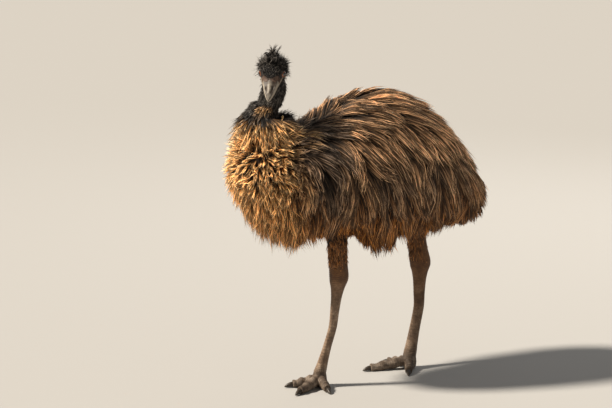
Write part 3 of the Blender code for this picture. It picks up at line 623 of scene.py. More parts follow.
def strands(paths, sides, places, count, width, spread, draw, converge, frizz, loose, rings=4):
    """Solid strands in plumes round their middle lines: three-sided, tapered and closed.

    Each plume holds count strands, whose roots spread over a disc, gather towards the tip by converge and
    stray by a slow random wave of size frizz. About a third are pale, the others dark and a little broader.
    Returns points and triangles, and for each point its share along the strand, its strand's shade, its
    place on the unwrap and its plume.
    """
    n = len(paths)
    width, spread = np.broadcast_to(width, n), np.broadcast_to(spread, n)
    plume = np.repeat(np.arange(n), count)
    m = len(plume)
    angle = draw.uniform(0, 2 * math.pi, m)
    reach = np.sqrt(draw.uniform(0, 1, m)) * spread[plume]
    off_side, off_along = np.cos(angle) * reach, np.sin(angle) * reach
    pale = draw.uniform(0, 1, m) < PALE_SHARE
    stretch = draw.uniform(0.72, 1.0, m)
    stations = np.linspace(0, 1, rings + 1)
    t = stations[None, :] * stretch[:, None]
    centre = along_path(paths[plume], t)
    side = unit(along_path(sides[plume], t))
    way = unit(np.gradient(centre, axis=1))
    across = np.cross(side, way)
    gather = 1 - converge * t
    phase = draw.uniform(0, 2 * math.pi, (m, 2))
    pace = draw.uniform(2.0, 6.0, (m, 1))
    stray = draw.normal(0, 1, (m, 2, 1)) * loose * t[:, None, :]
    wave = frizz * t * np.sin(pace * t + phase[:, :1])
    centre = centre + across * (off_side[:, None] * gather + wave + stray[:, 0])[..., None]
    rise = np.abs(stray[:, 1]) * 0.8 + frizz * 0.4 * t * np.sin(pace * t + phase[:, 1:])
    rise = rise + 0.0012 * pale[:, None] * t
    centre = centre + side * rise[..., None]
    centre = centre + way[:, :1] * off_along[:, None, None]
    taper = np.interp(stations, (0, 0.25, 0.6, 0.85, 1), (0.6, 1.0, 0.95, 0.7, 0.05))
    broad = width[plume] * draw.uniform(0.75, 1.2, m) * np.where(pale, 0.95, 1.05)
    half = broad[:, None] * taper[None, :] / 2
    twist = draw.normal(0, 0.4, m)[:, None, None]
    u = across * np.cos(twist) + side * np.sin(twist)
    v = side * np.cos(twist) - across * np.sin(twist)
    half = half[..., None]
    corners = np.stack([-u * half, v * half * STRAND_THICKNESS * 2, u * half], axis=2)
    rows = centre[:, :rings, None] + corners[:, :rings]
    points = np.concatenate([rows.reshape(m, rings * 3, 3), centre[:, rings:]], axis=1)
    size = rings * 3 + 1
    one = []
    for r in range(rings - 1):
        for c in range(3):
            a, b = r * 3 + c, r * 3 + (c + 1) % 3
            one += [(a, b, b + 3), (a, b + 3, a + 3)]
    for c in range(3):
        one.append(((rings - 1) * 3 + c, (rings - 1) * 3 + (c + 1) % 3, rings * 3))
    one.append((2, 1, 0))
    faces = (np.array(one)[None] + (np.arange(m) * size)[:, None, None]).reshape(-1, 3)
    along = np.concatenate([np.repeat(stations[:rings], 3), [1.0]])
    shade = 0.25 * draw.uniform(-1, 1, n)[plume] + np.where(pale, 0.85, -0.50)
    shade = shade + 0.25 * draw.uniform(-1, 1, m)
    patch = np.stack([np.concatenate([np.tile([0.0, 0.5, 1.0], rings), [0.5]]), along], axis=1) * 0.003
    uv = places[plume][:, None] + patch[None]
    return {
        "points": points.reshape(-1, 3),
        "faces": faces,
        "along": np.tile(along, m),
        "shade": np.repeat(shade, size),
        "uv": uv.reshape(-1, 2),
        "plume": np.repeat(plume, size),
    }


def coat_piece(name, made, zones, slot):
    """A piece of coat from strands, with the values that its material reads."""
    item = mesh_piece(name, made["points"], made["faces"], plumage())
    set_map(item, "OFBake", made["uv"])
    set_values(item, "along", made["along"])
    set_values(item, "shade", made["shade"])
    for zone, values in zones.items():
        set_values(item, zone, values[made["plume"]])
    return ride(item, slot)


# Materials


def node(tree, kind, inputs=(), stops=(), out=0, **settings):
    """Adds a shader node and gives one of its outputs.

    Each input is a value or an output to link, and the stops of a ramp are places from 0 to 1 with sRGB
    hex codes.
    """
    made = tree.nodes.new(kind)
    for key, value in settings.items():
        setattr(made, key, value)
    for key, source in dict(inputs).items():
        if isinstance(source, bpy.types.NodeSocket):
            tree.links.new(source, made.inputs[key])
        else:
            made.inputs[key].default_value = source
    if stops:
        elements = made.color_ramp.elements
        while len(elements) < len(stops):
            elements.new(0.5)
        for element, (place, colour) in zip(elements, stops):
            element.position = place
            element.color = rgb(colour)
    return made.outputs[out]


def shader(name, roughness, specular=0.5, **more):
    """A material whose Principled shader has its fixed numbers on its own sockets."""
    material = bpy.data.materials.new(name)
    material.use_nodes = True
    main = material.node_tree.nodes["Principled BSDF"]
    main.inputs["Roughness"].default_value = roughness
    main.inputs["Specular IOR Level"].default_value = specular
    for key, value in more.items():
        main.inputs[key.replace("_", " ")].default_value = value
    return material, material.node_tree, main


def layered(tree, colour, zone, over):
    """The colour, with another over it where a piece's own attribute is 1."""
    share = node(tree, "ShaderNodeAttribute", out="Fac", attribute_name=zone)
    return node(tree, "ShaderNodeMix", {0: share, 6: colour, 7: over}, out=2, data_type="RGBA")


def brightness(tree, colour, share, spread):
    """The colour times the spread to the power of a share, so spread times as light where the share is 1."""
    scale = node(tree, "ShaderNodeMath", {0: spread, 1: share}, operation="POWER")
    return node(tree, "ShaderNodeVectorMath", {0: colour, "Scale": scale}, operation="SCALE")


def plumage():
    """Lax emu plumes, soft and without gloss.

    They are dark at the root, partly their own colour and partly painted shade deep in the coat, brown, and
    paler at the tip, golden on the breast and black on the neck, where the pale grey tips are painted
    highlights.
    Each strand is lighter or darker by its own shade.
    """
    if "emu plumes" in bpy.data.materials:
        return bpy.data.materials["emu plumes"]
    colours = bpy.context.scene.emu_colours
    material, tree, main = shader("emu plumes", 0.62, 0.3)
    along = node(tree, "ShaderNodeAttribute", out="Fac", attribute_name="along")
    # Every ramp is dark at the root: partly the feathers' own colour and partly painted shade deep in the
    # coat.
    back = (0, "#120C07"), (0.38, "#382819"), (0.75, colours.plume_middle), (1.0, colours.plume_tip)
    golden = (0, "#1C130B"), (0.32, "#7A552F"), (0.70, colours.breast), (1.0, "#DFC296")
    belly = (0, "#26170C"), (0.45, "#6A3F18"), (0.85, "#A0672C"), (1.0, "#5E3C1C")
    # The black ramp's pale grey tip is a painted highlight on the glossy black hair.
    black = (0, "#0A0908"), (0.55, colours.neck), (1.0, "#5F5A55")
    colour = node(tree, "ShaderNodeValToRGB", {0: along}, back)
    for zone, stops in (("breast", golden), ("belly", belly), ("dark", black)):
        colour = layered(tree, colour, zone, node(tree, "ShaderNodeValToRGB", {0: along}, stops))
    shade = node(tree, "ShaderNodeAttribute", out="Fac", attribute_name="shade")
    tree.links.new(brightness(tree, colour, shade, 3.6), main.inputs["Base Color"])
    return material


def hide():
    """Dark, dry skin under the plumes, with the fine bumps of feather roots, about 6 mm apart."""
    material, tree, main = shader("dark skin", 0.8, 0.2)
    place = node(tree, "ShaderNodeTexCoord", out="Object")
    mottle = node(tree, "ShaderNodeTexNoise", {"Vector": place, "Scale": 14.0, "Detail": 3.0})
    colour = node(tree, "ShaderNodeValToRGB", {0: mottle}, ((0.3, "#17100B"), (0.7, "#2B1E14")))
    colour = layered(tree, colour, "dark", node(tree, "ShaderNodeValToRGB", {0: mottle}, BLACK_SKIN))
    tree.links.new(colour, main.inputs["Base Color"])
    roots = node(tree, "ShaderNodeTexVoronoi", {"Vector": place, "Scale": 160.0})
    bumps = node(tree, "ShaderNodeBump", {"Strength": 0.5, "Distance": 0.001, "Height": roots})
    tree.links.new(bumps, main.inputs["Normal"])
    return material


def face_skin():
    """Bare skin of the face: black under the hair and brownish grey over the lores.

    The gape has a pale edge and the lids are dark. Its pores are about 2 mm apart.
    """
    material, tree, main = shader("face skin", 0.6, 0.35)
    place = node(tree, "ShaderNodeTexCoord", out="Object")
    grain = {"Vector": place, "Scale": 120.0, "Detail": 5.0, "Roughness": 0.7}
    mottle = node(tree, "ShaderNodeTexNoise", grain)
    grey = (0.32, "#2A1F19"), (0.55, "#5A463A"), (0.75, "#8C7263")
    colour = node(tree, "ShaderNodeValToRGB", {0: mottle}, BLACK_SKIN)
    colour = layered(tree, colour, "bare", node(tree, "ShaderNodeValToRGB", {0: mottle}, grey))
    colour = layered(tree, colour, "lid", rgb("#2B211C"))
    colour = layered(tree, colour, "edge", rgb("#B9AC99"))
    tree.links.new(colour, main.inputs["Base Color"])
    pores = node(tree, "ShaderNodeTexVoronoi", {"Vector": place, "Scale": 520.0})
    bumps = node(tree, "ShaderNodeBump", {"Strength": 0.5, "Distance": 0.0007, "Height": pores})
    tree.links.new(bumps, main.inputs["Normal"])
    return material


def leg_scales():
    """Horny, dusty leg skin with round scales of about 5 mm.

    It is browner above the hock and darker on the toes, with painted shade in the creases between its broad
    scutes, in the troughs of the wrinkles at hock and ankle, and along the grooves between its scales.
    """
    colours = bpy.context.scene.emu_colours
    material, tree, main = shader("leg scales", 0.6, 0.4)
    place = node(tree, "ShaderNodeTexCoord", out="Object")
    size = {"Vector": place, "Scale": 190.0, "Randomness": 0.85}
    cells = node(tree, "ShaderNodeTexVoronoi", size, feature="DISTANCE_TO_EDGE")
    groove = node(tree, "ShaderNodeMapRange", {0: cells, 1: 0.0, 2: 0.14})
    grain = {"Vector": place, "Scale": 26.0, "Detail": 6.0, "Roughness": 0.7}
    dust = node(tree, "ShaderNodeTexNoise", grain)
    shank = (0.30, "#5A4636"), (0.50, colours.scales), (0.70, "#C2AA92")
    warm = (0.30, "#44260D"), (0.7, "#83562A")
    toes = (0.30, "#342B24"), (0.5, "#655546"), (0.70, "#A89888")
    colour = node(tree, "ShaderNodeValToRGB", {0: dust}, shank)
    for zone, stops in (("upper", warm), ("foot", toes)):
        colour = layered(tree, colour, zone, node(tree, "ShaderNodeValToRGB", {0: dust}, stops))
    # Painted shade in the creases between scutes and in the troughs of the wrinkles.
    crease = node(tree, "ShaderNodeAttribute", out="Fac", attribute_name="crease")
    deep = node(tree, "ShaderNodeMath", {0: crease, 1: 0.55}, operation="MULTIPLY")
    mix = {"out": 2, "data_type": "RGBA"}
    colour = node(tree, "ShaderNodeMix", {0: deep, 6: colour, 7: rgb("#2A1F18")}, **mix)
    # Painted shade along the grooves between the scales.
    lines = node(tree, "ShaderNodeMix", {0: groove, 6: rgb("#42352B"), 7: colour}, **mix)
    colour = node(tree, "ShaderNodeMix", {0: 0.5, 6: colour, 7: lines}, **mix)
    tree.links.new(colour, main.inputs["Base Color"])
    bumps = node(tree, "ShaderNodeBump", {"Strength": 0.6, "Distance": 0.0012, "Height": groove})
    fine = node(tree, "ShaderNodeTexNoise", {"Vector": place, "Scale": 420.0, "Detail": 2.0})
    over = {"Strength": 0.25, "Distance": 0.0006, "Height": fine, "Normal": bumps}
    tree.links.new(node(tree, "ShaderNodeBump", over), main.inputs["Normal"])
    return material


def horn(name, pale, dark, roughness):
    """Keratin of bill or claw, nearly matt: blotched, with painted shade in its hollows and darker near its
    base, and worn pale on its edges.
    """
    material, tree, main = shader(name, roughness, 0.35)
    place = node(tree, "ShaderNodeTexCoord", out="Object")
    grain = {"Vector": place, "Scale": 90.0, "Detail": 6.0, "Roughness": 0.75}
    blotches = node(tree, "ShaderNodeTexNoise", grain)
    colour = node(tree, "ShaderNodeValToRGB", {0: blotches}, ((0.40, dark), (0.56, pale)))
    # The 'shade' value paints shade into the hollows and darkens the base.
    colour = layered(tree, colour, "shade", rgb(dark))
    colour = layered(tree, colour, "worn", rgb("#ADA292"))
    tree.links.new(colour, main.inputs["Base Color"])
    fine = node(tree, "ShaderNodeTexNoise", {"Vector": place, "Scale": 380.0, "Detail": 3.0})
    bumps = node(tree, "ShaderNodeBump", {"Strength": 0.35, "Distance": 0.0006, "Height": fine})
    tree.links.new(bumps, main.inputs["Normal"])
    return material


def eyeball():
    """A wet eye: black pupil, flecked amber iris and a dark rim, under a clear, glossy coat of tears."""
    colours = bpy.context.scene.emu_colours
    material, tree, main = shader("eye", 0.12, 0.6, Coat_Weight=1.0, Coat_Roughness=0.03)
    ring = node(tree, "ShaderNodeAttribute", out="Fac", attribute_name="ring")
    pupil, iris = ((0.0, "#050404"), (0.25, "#050404")), ((0.30, "#3E1E0A"), (0.46, colours.iris))
    rim = (0.60, "#3A1C0C"), (0.70, "#0A0706")
    colour = node(tree, "ShaderNodeValToRGB", {0: ring}, pupil + iris + rim)
    place = node(tree, "ShaderNodeTexCoord", out="Object")
    flecks = node(tree, "ShaderNodeTexNoise", {"Vector": place, "Scale": 900.0, "Detail": 2.0})
    tree.links.new(brightness(tree, colour, flecks, 1.5), main.inputs["Base Color"])
    return material


# Head


def head_axes():
    """The ways that the bill points, that the head's left side faces and that its crown faces."""
    level = math.cos(HEAD_DROOP)
    bill = at(level * math.sin(HEAD_TURN), level * math.cos(HEAD_TURN), -math.sin(HEAD_DROOP))
    side = at(math.cos(HEAD_TURN), -math.sin(HEAD_TURN), 0)
    crown = np.cross(side, bill)
    return bill, side, crown if crown[2] > 0 else -crown


def in_head(ahead, side, rise):
    """Points of the head from their distances ahead of, to the left of and over the eye line."""
    b, s, c = head_axes()
    ahead, side, rise = np.broadcast_arrays(ahead, side, rise)
    return at(*EYE_LINE) + ahead[..., None] * b + side[..., None] * s + rise[..., None] * c


def head_places(p):
    """Distances ahead of, to the left of and over the eye line, of points in space."""
    b, s, c = head_axes()
    away = p - at(*EYE_LINE)
    return away @ b, away @ s, away @ c


def skull_sizes(a):
    """The skull's middle rise, half width and half height at distances ahead, as smooth curves of SKULL."""
    return [through(a, SKULL[:, 0], SKULL[:, k]) for k in (1, 2, 3)]


def mouth_line(a):
    """The height of the mouth at distances ahead: a straight line that falls towards the bill's tip."""
    return MOUTH_LEVEL - 0.110 * (a - BILL_BASE)


def skull_point(a, turn):
    """Points on the skull at distances ahead and turns round it, 0 at its left and a quarter at the crown.

    Each section is an oval of the cosine and sine of the turn. Brows stand out over the eyes as bells, the
    face sinks in ahead of them, and the gape runs back from the bill under each eye as a raised edge over a
    groove.
    """
    rise, wide, tall = skull_sizes(a)
    x = wide * np.cos(turn)
    z = rise + tall * np.sin(turn)
    face = np.abs(np.cos(turn)) ** 0.5
    brow = hump(a, 0.004, 0.015) * hump(z, 0.0155, 0.006)
    hollow = hump(a, 0.023, 0.012) * hump(z, 0.004, 0.008)
    gape = ramp(a, -0.006, 0.006)
    lip = gape * hump(z - mouth_line(a), 0.0022, 0.0016)
    groove = gape * hump(z - mouth_line(a), -0.0012, 0.0013)
    x = x + np.sign(np.cos(turn)) * face * (0.0014 * brow - 0.0035 * hollow + 0.0012 * lip - 0.0016 * groove)
    return in_head(a, x, z)


def skull_grid():
    """The skull's skin as rings from the nape to the bill."""
    return skull_point(np.linspace(SKULL[0, 0], SKULL[-1, 0], 64)[:, None], turns(72)[None, :])


def neck_grid(rows=60, sides=48):
    """The neck's skin, inside its feathers, as rings from the body to the skull."""
    t = np.linspace(0, len(NECK) - 1, rows)
    knots = np.arange(len(NECK), dtype=float)
    left, ahead, height, half = (through(t, knots, NECK[:, k]) for k in range(4))
    half = half - np.interp(height, (0.95, 1.03, 1.12), (0.022, 0.012, 0.006))
    return rings_along(np.stack([left, -ahead, height], axis=1), half, half, sides, np.array([1.0, 0.0, 0.0]))


def eye_place(side):
    """The middle of the left eye for side 1 and of the right one for side -1."""
    return in_head(0.005, side * EYE_OUT, 0.0015)


def bareness(a, x, z):
    """How bare the face is, from the eyes to the bill, with feathers down to a point between the eyes."""
    limit = 0.038 - 0.012 * ramp(np.abs(x), 0.004, 0.026)
    return ramp(a - limit, -0.004, 0.003) * ramp(z - mouth_line(a), -0.003, 0.0005)


def eye_gap(a, x, z):
    """How much the hair is cleared round each eye."""
    far = np.sqrt((a - 0.008) ** 2 + (z - 0.003) ** 2)
    return ramp(far, 0.0185, 0.0150) * ramp(np.abs(x), 0.0185, 0.0305)


def lid_ring(side):
    """A fleshy ring of lid round an eye, drawn down over its top by a heavier upper lid."""
    b, s, c = head_axes()
    out = unit(side * s * 0.86 + b * 0.40 + c * 0.26)
    along = unit(np.cross(c, out))
    upward = np.cross(out, along)
    centre = eye_place(side) + out * 0.0055
    turn, tube = turns(48), turns(16)
    tall = np.where(np.sin(turn) > 0, 0.58, 0.88)
    way = along[None] * (np.cos(turn) * 1.18)[:, None] + upward[None] * (np.sin(turn) * tall)[:, None]
    fat = (0.0026 + 0.0007 * np.maximum(np.sin(turn), 0))[:, None]
    middle = centre + way * 0.0107
    sunk = 0.0015 * np.abs(np.cos(turn))[:, None]
    across = unit(way)[:, None] * (fat * np.cos(tube)[None])[..., None]
    return middle[:, None] + across + out * ((fat * 0.9) * np.sin(tube)[None] - sunk)[..., None]


def torso_skin():
    """The torso's skin as a loft along its axis: sections of a rounded box, closer together at both ends."""
    rows, sides = 120, 100
    t, run = profile_run()
    place = np.interp(np.linspace(0.004, run[-1] - 0.004, rows), run, t)
    turn = turns(sides)
    size = (1 - np.abs(place) ** BODY_ROUNDNESS) ** (1 / BODY_ROUNDNESS) * 0.985
    ahead = BODY_MIDDLE + BODY_HALF * place
    mid, tall, wide = torso_sizes(ahead)
    tuck = belly_tuck(ahead)
    share = 2 / BODY_ROUNDNESS
    x = ((wide - COAT) * size)[:, None] * (np.sign(np.cos(turn)) * np.abs(np.cos(turn)) ** share)[None]
    rise = np.sign(np.sin(turn)) * np.abs(np.sin(turn)) ** share
    z = mid[:, None] + ((tall - COAT) * size)[:, None] * np.where(rise < 0, rise * tuck[:, None], rise)
    return closed_loft(np.stack([x, np.broadcast_to(-ahead[:, None], x.shape), z], axis=-1))


def lid_tube(side):
    """A ring of lid round an eye as a closed tube."""
    ring = lid_ring(side)
    rows, sides = ring.shape[:2]
    loop = grid_faces(rows, sides)
    c = np.arange(sides)
    n = (c + 1) % sides
    last = np.stack([(rows - 1) * sides + c, (rows - 1) * sides + n, n, c], axis=1)
    quad = np.concatenate([loop, last])
    return ring.reshape(-1, 3), np.concatenate([quad[:, [0, 1, 2]], quad[:, [0, 2, 3]]])


def leg_skin(name):
    """One leg from the hip to the toes: lofts fused by a fine remesh, then raised into scales."""
    leg = LEGS[name]
    table = leg_rows(leg)
    knots = np.arange(len(table), dtype=float)
    t = np.linspace(0, len(table) - 1, 120)
    rows = np.stack([through(t, knots, table[:, k]) for k in range(5)], axis=1)
    _, across = heading_axes(leg["heading"])
    shaft = closed_loft(rings_along(rows[:, :3], rows[:, 3], rows[:, 4], 40, across))
    sole = at(*leg["ankle"]) * (1, 1, 0)
    a = turns(32)
    heel = [(0.0, 0.019), (0.010, 0.0245), (0.026, 0.0260), (0.044, 0.0240), (0.060, 0.0205)]
    rings = [sole + np.stack([np.cos(a) * r, np.sin(a) * r, np.full(32, z)], axis=1) for z, r in heel]
    parts = [shaft, closed_loft(np.array(rings))]
    parts += [closed_loft(toe_rings(leg, angle, length)) for _, angle, length in leg["toes"]]
    points, faces = merged([(p, outward(p, f)) for p, f in parts])
    item = applied(plain_object("leg_" + name, points, faces), "REMESH", mode="VOXEL", voxel_size=0.0019)
    p, normal = mesh_points(item.data), mesh_points(item.data, "normal")
    p = p + normal * (scale_height(p, leg)[0] - 0.0004)[:, None]
    p[:, 2] = np.maximum(p[:, 2], 0.0)
    item.data.vertices.foreach_set("co", p.astype(np.float32).ravel())
    return item


def fused_skin():
    """Torso, neck, head, lids and legs as one closed surface."""
    parts = bpy.data.collections.new("skin_parts")
    shapes = (closed_loft(neck_grid()), closed_loft(skull_grid()), lid_tube(1), lid_tube(-1))
    for k, (points, faces) in enumerate(shapes):
        parts.objects.link(plain_object(f"skin_part_{k}", points, faces))
    for name in LEGS:
        parts.objects.link(leg_skin(name))
    item = plain_object("skin", *torso_skin())
    bpy.context.view_layer.update()
    settings = {"operation": "UNION", "solver": "MANIFOLD", "operand_type": "COLLECTION", "collection": parts}
    applied(item, "BOOLEAN", **settings)
    for part in list(parts.objects):
        bpy.data.objects.remove(part)
    bpy.data.collections.remove(parts)
    return item


def build_skin():
    """One skin that the plumes grow from, with the values that its materials read, moved to its place."""
    item = fused_skin()
    mesh = item.data
    p = mesh_points(mesh)
    height = p[:, 2]
    a, x, z = head_places(p)
    on_head = ramp(height, 1.02, 1.05)
    lip = hump(z - mouth_line(a), 0.0024, 0.0017) * ramp(a, -0.004, 0.010)
    near_eye = np.minimum(*(np.linalg.norm(p - eye_place(side), axis=1) for side in (1, -1)))
    set_values(item, "dark", ramp(height, 0.95, 1.0))
    set_values(item, "bare", bareness(a, x, z) * on_head)
    set_values(item, "edge", lip * on_head)
    set_values(item, "lid", ramp(near_eye, 0.0185, 0.0165) * on_head)
    crease, upper = np.zeros(len(p)), np.zeros(len(p))
    for name, leg in LEGS.items():
        from_hock = np.hypot(p[:, 0] - leg["hock"][0], -p[:, 1] - leg["hock"][1])
        this_side = (-p[:, 1] > -0.05) == (name == "left")
        mine = (height < SCALES_BELOW) & (from_hock < 0.26) & this_side
        crease[mine] = scale_height(p[mine], leg)[1]
        hock = leg["hock"][2]
        upper[mine] = ramp(height[mine], hock - leg["brown"], hock + 0.03)
    # How deep each point lies in a crease, which the leg scales darken as painted shade.
    set_values(item, "crease", crease)
    set_values(item, "upper", upper)
    set_values(item, "foot", ramp(height, 0.085, 0.045))
    mesh.materials.clear()
    for material in (hide(), face_skin(), leg_scales()):
        mesh.materials.append(material)
    first = np.zeros(len(mesh.polygons), np.int32)
    mesh.polygons.foreach_get("loop_start", first)
    corner = np.zeros(len(mesh.loops), np.int32)
    mesh.loops.foreach_get("vertex_index", corner)
    face_height = height[corner[first]]
    material = np.where(face_height > FACE_FROM, 1, np.where(face_height < SCALES_BELOW, 2, 0))
    mesh.polygons.foreach_set("material_index", material.astype(np.int32))
    mesh.polygons.foreach_set("use_smooth", np.full(len(mesh.polygons), True))
    mesh.vertices.foreach_set("co", (p + STAND_AT).astype(np.float32).ravel())
    mesh.update()
    limbs = [f"{part}_{side}" for part in ("wing", "thigh", "shank", "foot") for side in ("left", "right")]
    return ride(item, "scales", "torso", "tail", "neck", "head", *limbs)


def bill_grid(table, lower, sides, rows):
    """One half of the bill: a keeled top or bottom over a flat meeting face at the mouth line.

    Its half width is the cosine of the turn to a power, and its rise the sine to a power, so both are
    rounded boxes. Distances ahead, to the left and up come back, with the turns.
    """
    a = table[0, 0] + (table[-1, 0] - table[0, 0]) * np.linspace(0, 1, rows) ** 0.85
    wide, edge = (through(a, table[:, 0], table[:, k]) for k in (1, 2))
    wide = np.maximum(wide, 0.0002)
    line = mouth_line(a) - (0.0004 if lower else 0.0)
    turn = turns(sides)
    outer = np.sin(turn) > 0
    power = np.where(outer, 0.90 if lower else 0.80, 0.35)
    x = wide[:, None] * (np.sign(np.cos(turn)) * np.abs(np.cos(turn)) ** 0.75)[None]
    rise = np.abs(np.sin(turn)) ** power
    tall = (edge - line)[:, None]
    z = line[:, None] + np.where(outer[None], tall * rise[None], -tall * 0.02 * rise[None])
    return a, x, z, turn


def build_bill():
    """Both halves of the bill: a raised ridge down the upper one, and oval nostrils in a long groove."""
    a, x, z, turn = bill_grid(UPPER_BILL, False, 72, 100)
    side = np.abs(x) / np.maximum(np.abs(x).max(axis=1, keepdims=True), 1e-5)
    outer = (np.sin(turn) > 0)[None]
    ridge = hump(side, 0.0, 0.24) * ramp(a, 0.112, 0.080)[:, None]
    rim = hump(side, 0.95, 0.10)
    groove = hump(side, 0.56, 0.24) * (ramp(a, 0.036, 0.050) * ramp(a, 0.100, 0.088))[:, None]
    nostril = hump(a, 0.0735, 0.0070)[:, None] * hump(side, 0.55, 0.13)
    z = z + np.where(outer, 0.0018 * ridge - 0.0020 * groove - 0.0040 * nostril, 0.0)
    points, faces = closed_loft(in_head(a[:, None], x, z))
    keratin = horn("bill", bpy.context.scene.emu_colours.bill, "#3B312A", 0.52)
    upper = mesh_piece("bill_upper_horn", points, outward(points, faces), keratin)
    # Painted shade in the groove and nostrils, darker towards the base, and less of it on ridge and rim.
    hollow = 0.85 * groove + 1.1 * nostril + 0.8 * ramp(a, 0.060, 0.046)[:, None] - 0.3 * ridge - 0.3 * rim
    set_values(upper, "shade", with_ends(np.clip(hollow, 0, 1)))
    worn = np.clip(0.90 * rim + 0.35 * ridge * ramp(a, 0.050, 0.064)[:, None], 0, 1) * outer
    set_values(upper, "worn", with_ends(worn))
    ride(upper, "horn", "bill_upper")
    a, x, z, turn = bill_grid(LOWER_BILL, True, 48, 70)
    points, faces = closed_loft(in_head(a[:, None], x, z))
    keratin = horn("lower bill", "#6E675D", "#3A352F", 0.45)
    lower = mesh_piece("bill_lower_horn", points, outward(points, faces), keratin)
    set_values(lower, "shade", with_ends(np.broadcast_to(ramp(a, 0.06, 0.042)[:, None] * 0.7, x.shape)))
    set_values(lower, "worn", np.zeros(len(points)))
    ride(lower, "horn", "bill_lower")


def build_eyes():
    """Both eyeballs, whose iris and pupil are rings about the way that the eye looks."""
    b, s, c = head_axes()
    material = eyeball()
    turn = turns(48)
    tilt = np.linspace(0, math.pi, 40)[1:-1]
    ring = np.clip(tilt / (math.pi / 2) * 0.95, 0, 1)
    for name, side in (("left", 1), ("right", -1)):
        out = unit(side * s * 0.80 + b * 0.45 + c * 0.34)
        u = unit(np.cross(out, c))
        v = unit(np.cross(out, np.cross(out, c)))
        round_it = np.cos(turn)[:, None] * u + np.sin(turn)[:, None] * v
        ball = eye_place(side) + out * (np.cos(tilt)[:, None, None] * EYE_RADIUS)
        ball = ball + (np.sin(tilt)[:, None] * EYE_RADIUS)[..., None] * round_it[None]
        points, faces = closed_loft(ball)
        item = mesh_piece("eyeball_" + name, points, outward(points, faces), material)
        set_values(item, "ring", with_ends(np.repeat(ring[:, None], len(turn), axis=1)))
        ride(item, "eye", "eye_" + name)


# Plumage


def no_zone(count, **given):
    """The values of every zone that the plumage's material reads, nought where not given."""
    return {zone: np.broadcast_to(given.get(zone, 0.0), count) for zone in ("breast", "belly", "dark")}


def gathered(paths, roots, lock_roots, lock_paths, share):
    """Plumes drawn towards the middle line of the nearest lock, more so towards their tips."""
    near = np.argmin(np.sum((roots[:, None] - lock_roots[None]) ** 2, axis=2), axis=1)
    t = np.linspace(0, 1, paths.shape[1])[None, :, None]
    return paths + (lock_paths[near] - paths) * t * share[:, None, None]


def torso_zones(p):
    """Which plumes are golden, belly brown or dark, and how light each is, from where their roots are.
    The dark zone and the tone hold painted shade on skin that faces sideways, and the tone paints the top
    lighter.
    """
    ahead, height = -p[:, 1], p[:, 2]
    facing_up = unit(torso_slope(p))[:, 2]
    edge = 0.352 - 0.04 * ramp(height, 0.76, 0.62) + 0.022 * waves(p, 0.07, 6)
    breast = ramp(ahead - edge, -0.025, 0.025)
    belly = ramp(height, 0.84, 0.61)
    shoulder = hump(ahead, 0.305, 0.075) * hump(height, 0.92, 0.11)
    # Painted shade on skin that faces sideways rather than up, given to the dark zone and to the tone.
    side_shade = ramp(facing_up, 0.75, 0.10)
    behind = ramp(ahead, -0.20, -0.45)
    dark = 0.95 * shoulder + 0.22 * side_shade + 0.20 * behind + 0.20 * waves(p, 0.14, 3)
    dark = np.clip(dark, 0, 0.85) * (1 - breast) * (1 - 0.5 * belly)
    # The tone holds painted light: lighter where the skin faces up, painted shade where it faces sideways; it
    # also darkens towards the rear and varies at random.
    tone_and_painted_light = (0.14 - 0.34 * side_shade - 0.18 * behind + 0.16 * waves(p, 0.09, 4)) * (1 - breast) + 0.10 * breast
    return no_zone(len(p), breast=breast, belly=belly * (1 - 0.30 * breast), dark=dark), tone_and_painted_light


def plume_length(p, longest):
    """Lengths of the plumes: longest on back and flanks, shorter towards the breast, and cut by the hem."""
    ahead, height = -p[:, 1], p[:, 2]
    breast = ramp(ahead, 0.26, 0.42)
    low = ramp(height, 0.74, 0.60)
    length = longest * (1 - 0.66 * breast * (1 - 0.55 * low))
    return np.minimum(length, np.maximum(0.030, height - hem_height(p)))


def breast_paths(roots, draw):
    """Middle lines of the breast's tufts: they spread from the whorl, and stand out most at its middle."""
    n = len(roots)
    height = roots[:, 2]
    ways, _ = lie(roots)
    normals = unit(torso_slope(roots))
    far = np.linalg.norm(roots - at(*BREAST_WHORL), axis=1)
    middle = ramp(far, 0.17, 0.02)
    low = ramp(height, 0.74, 0.60)
    high = ramp(height, 0.84, 0.90)
    ways = unit(ways + (0.26 + 0.30 * middle - 0.16 * low)[:, None] * draw.normal(size=(n, 3)))
    ways = unit(ways - normals * np.sum(ways * normals, axis=1, keepdims=True))
    lift = 0.45 + 0.34 * middle + 0.20 * high - 0.20 * low + draw.normal(0, 0.16, n)
    to_hem = np.maximum(0.040, (height - hem_height(roots)) * 1.1)
    length = np.minimum(0.054 - 0.012 * middle + 0.06 * low, to_hem) * draw.uniform(0.75, 1.15, n)
    tall = 0.046 + 0.022 * high
    length = np.minimum(length * (1 + 0.35 * high), tall / np.maximum(np.sin(lift), 0.25))
    droop = 0.6 * ramp(height, 0.84, 0.66)
    return straight_paths(roots, normals, ways, length, lift, droop, draw.normal(0, 0.5, n), steps=12)


def clear_of_neck(points):
    """Which roots lie outside the place where the neck leaves the torso."""
    return np.linalg.norm((points - at(-0.006, 0.388, 0.955)) * (1, 1, 0.7), axis=1) > 0.062


def torso_piece(name, roots, lines, chosen, draw, looks):
    """One piece of the torso's coat: the strands of the chosen plumes, each plume in its zones and its tone,
    painted light included.
    """
    zones, tone_and_painted_light = torso_zones(roots[chosen])
    made = strands(*(v[chosen] for v in lines), draw=draw, loose=0.0045, **looks)
    # Each strand's shade takes its plume's tone, with the painted light in it.
    made["shade"] += tone_and_painted_light[made["plume"]]
    coat_piece(name, made, zones, "plumage")


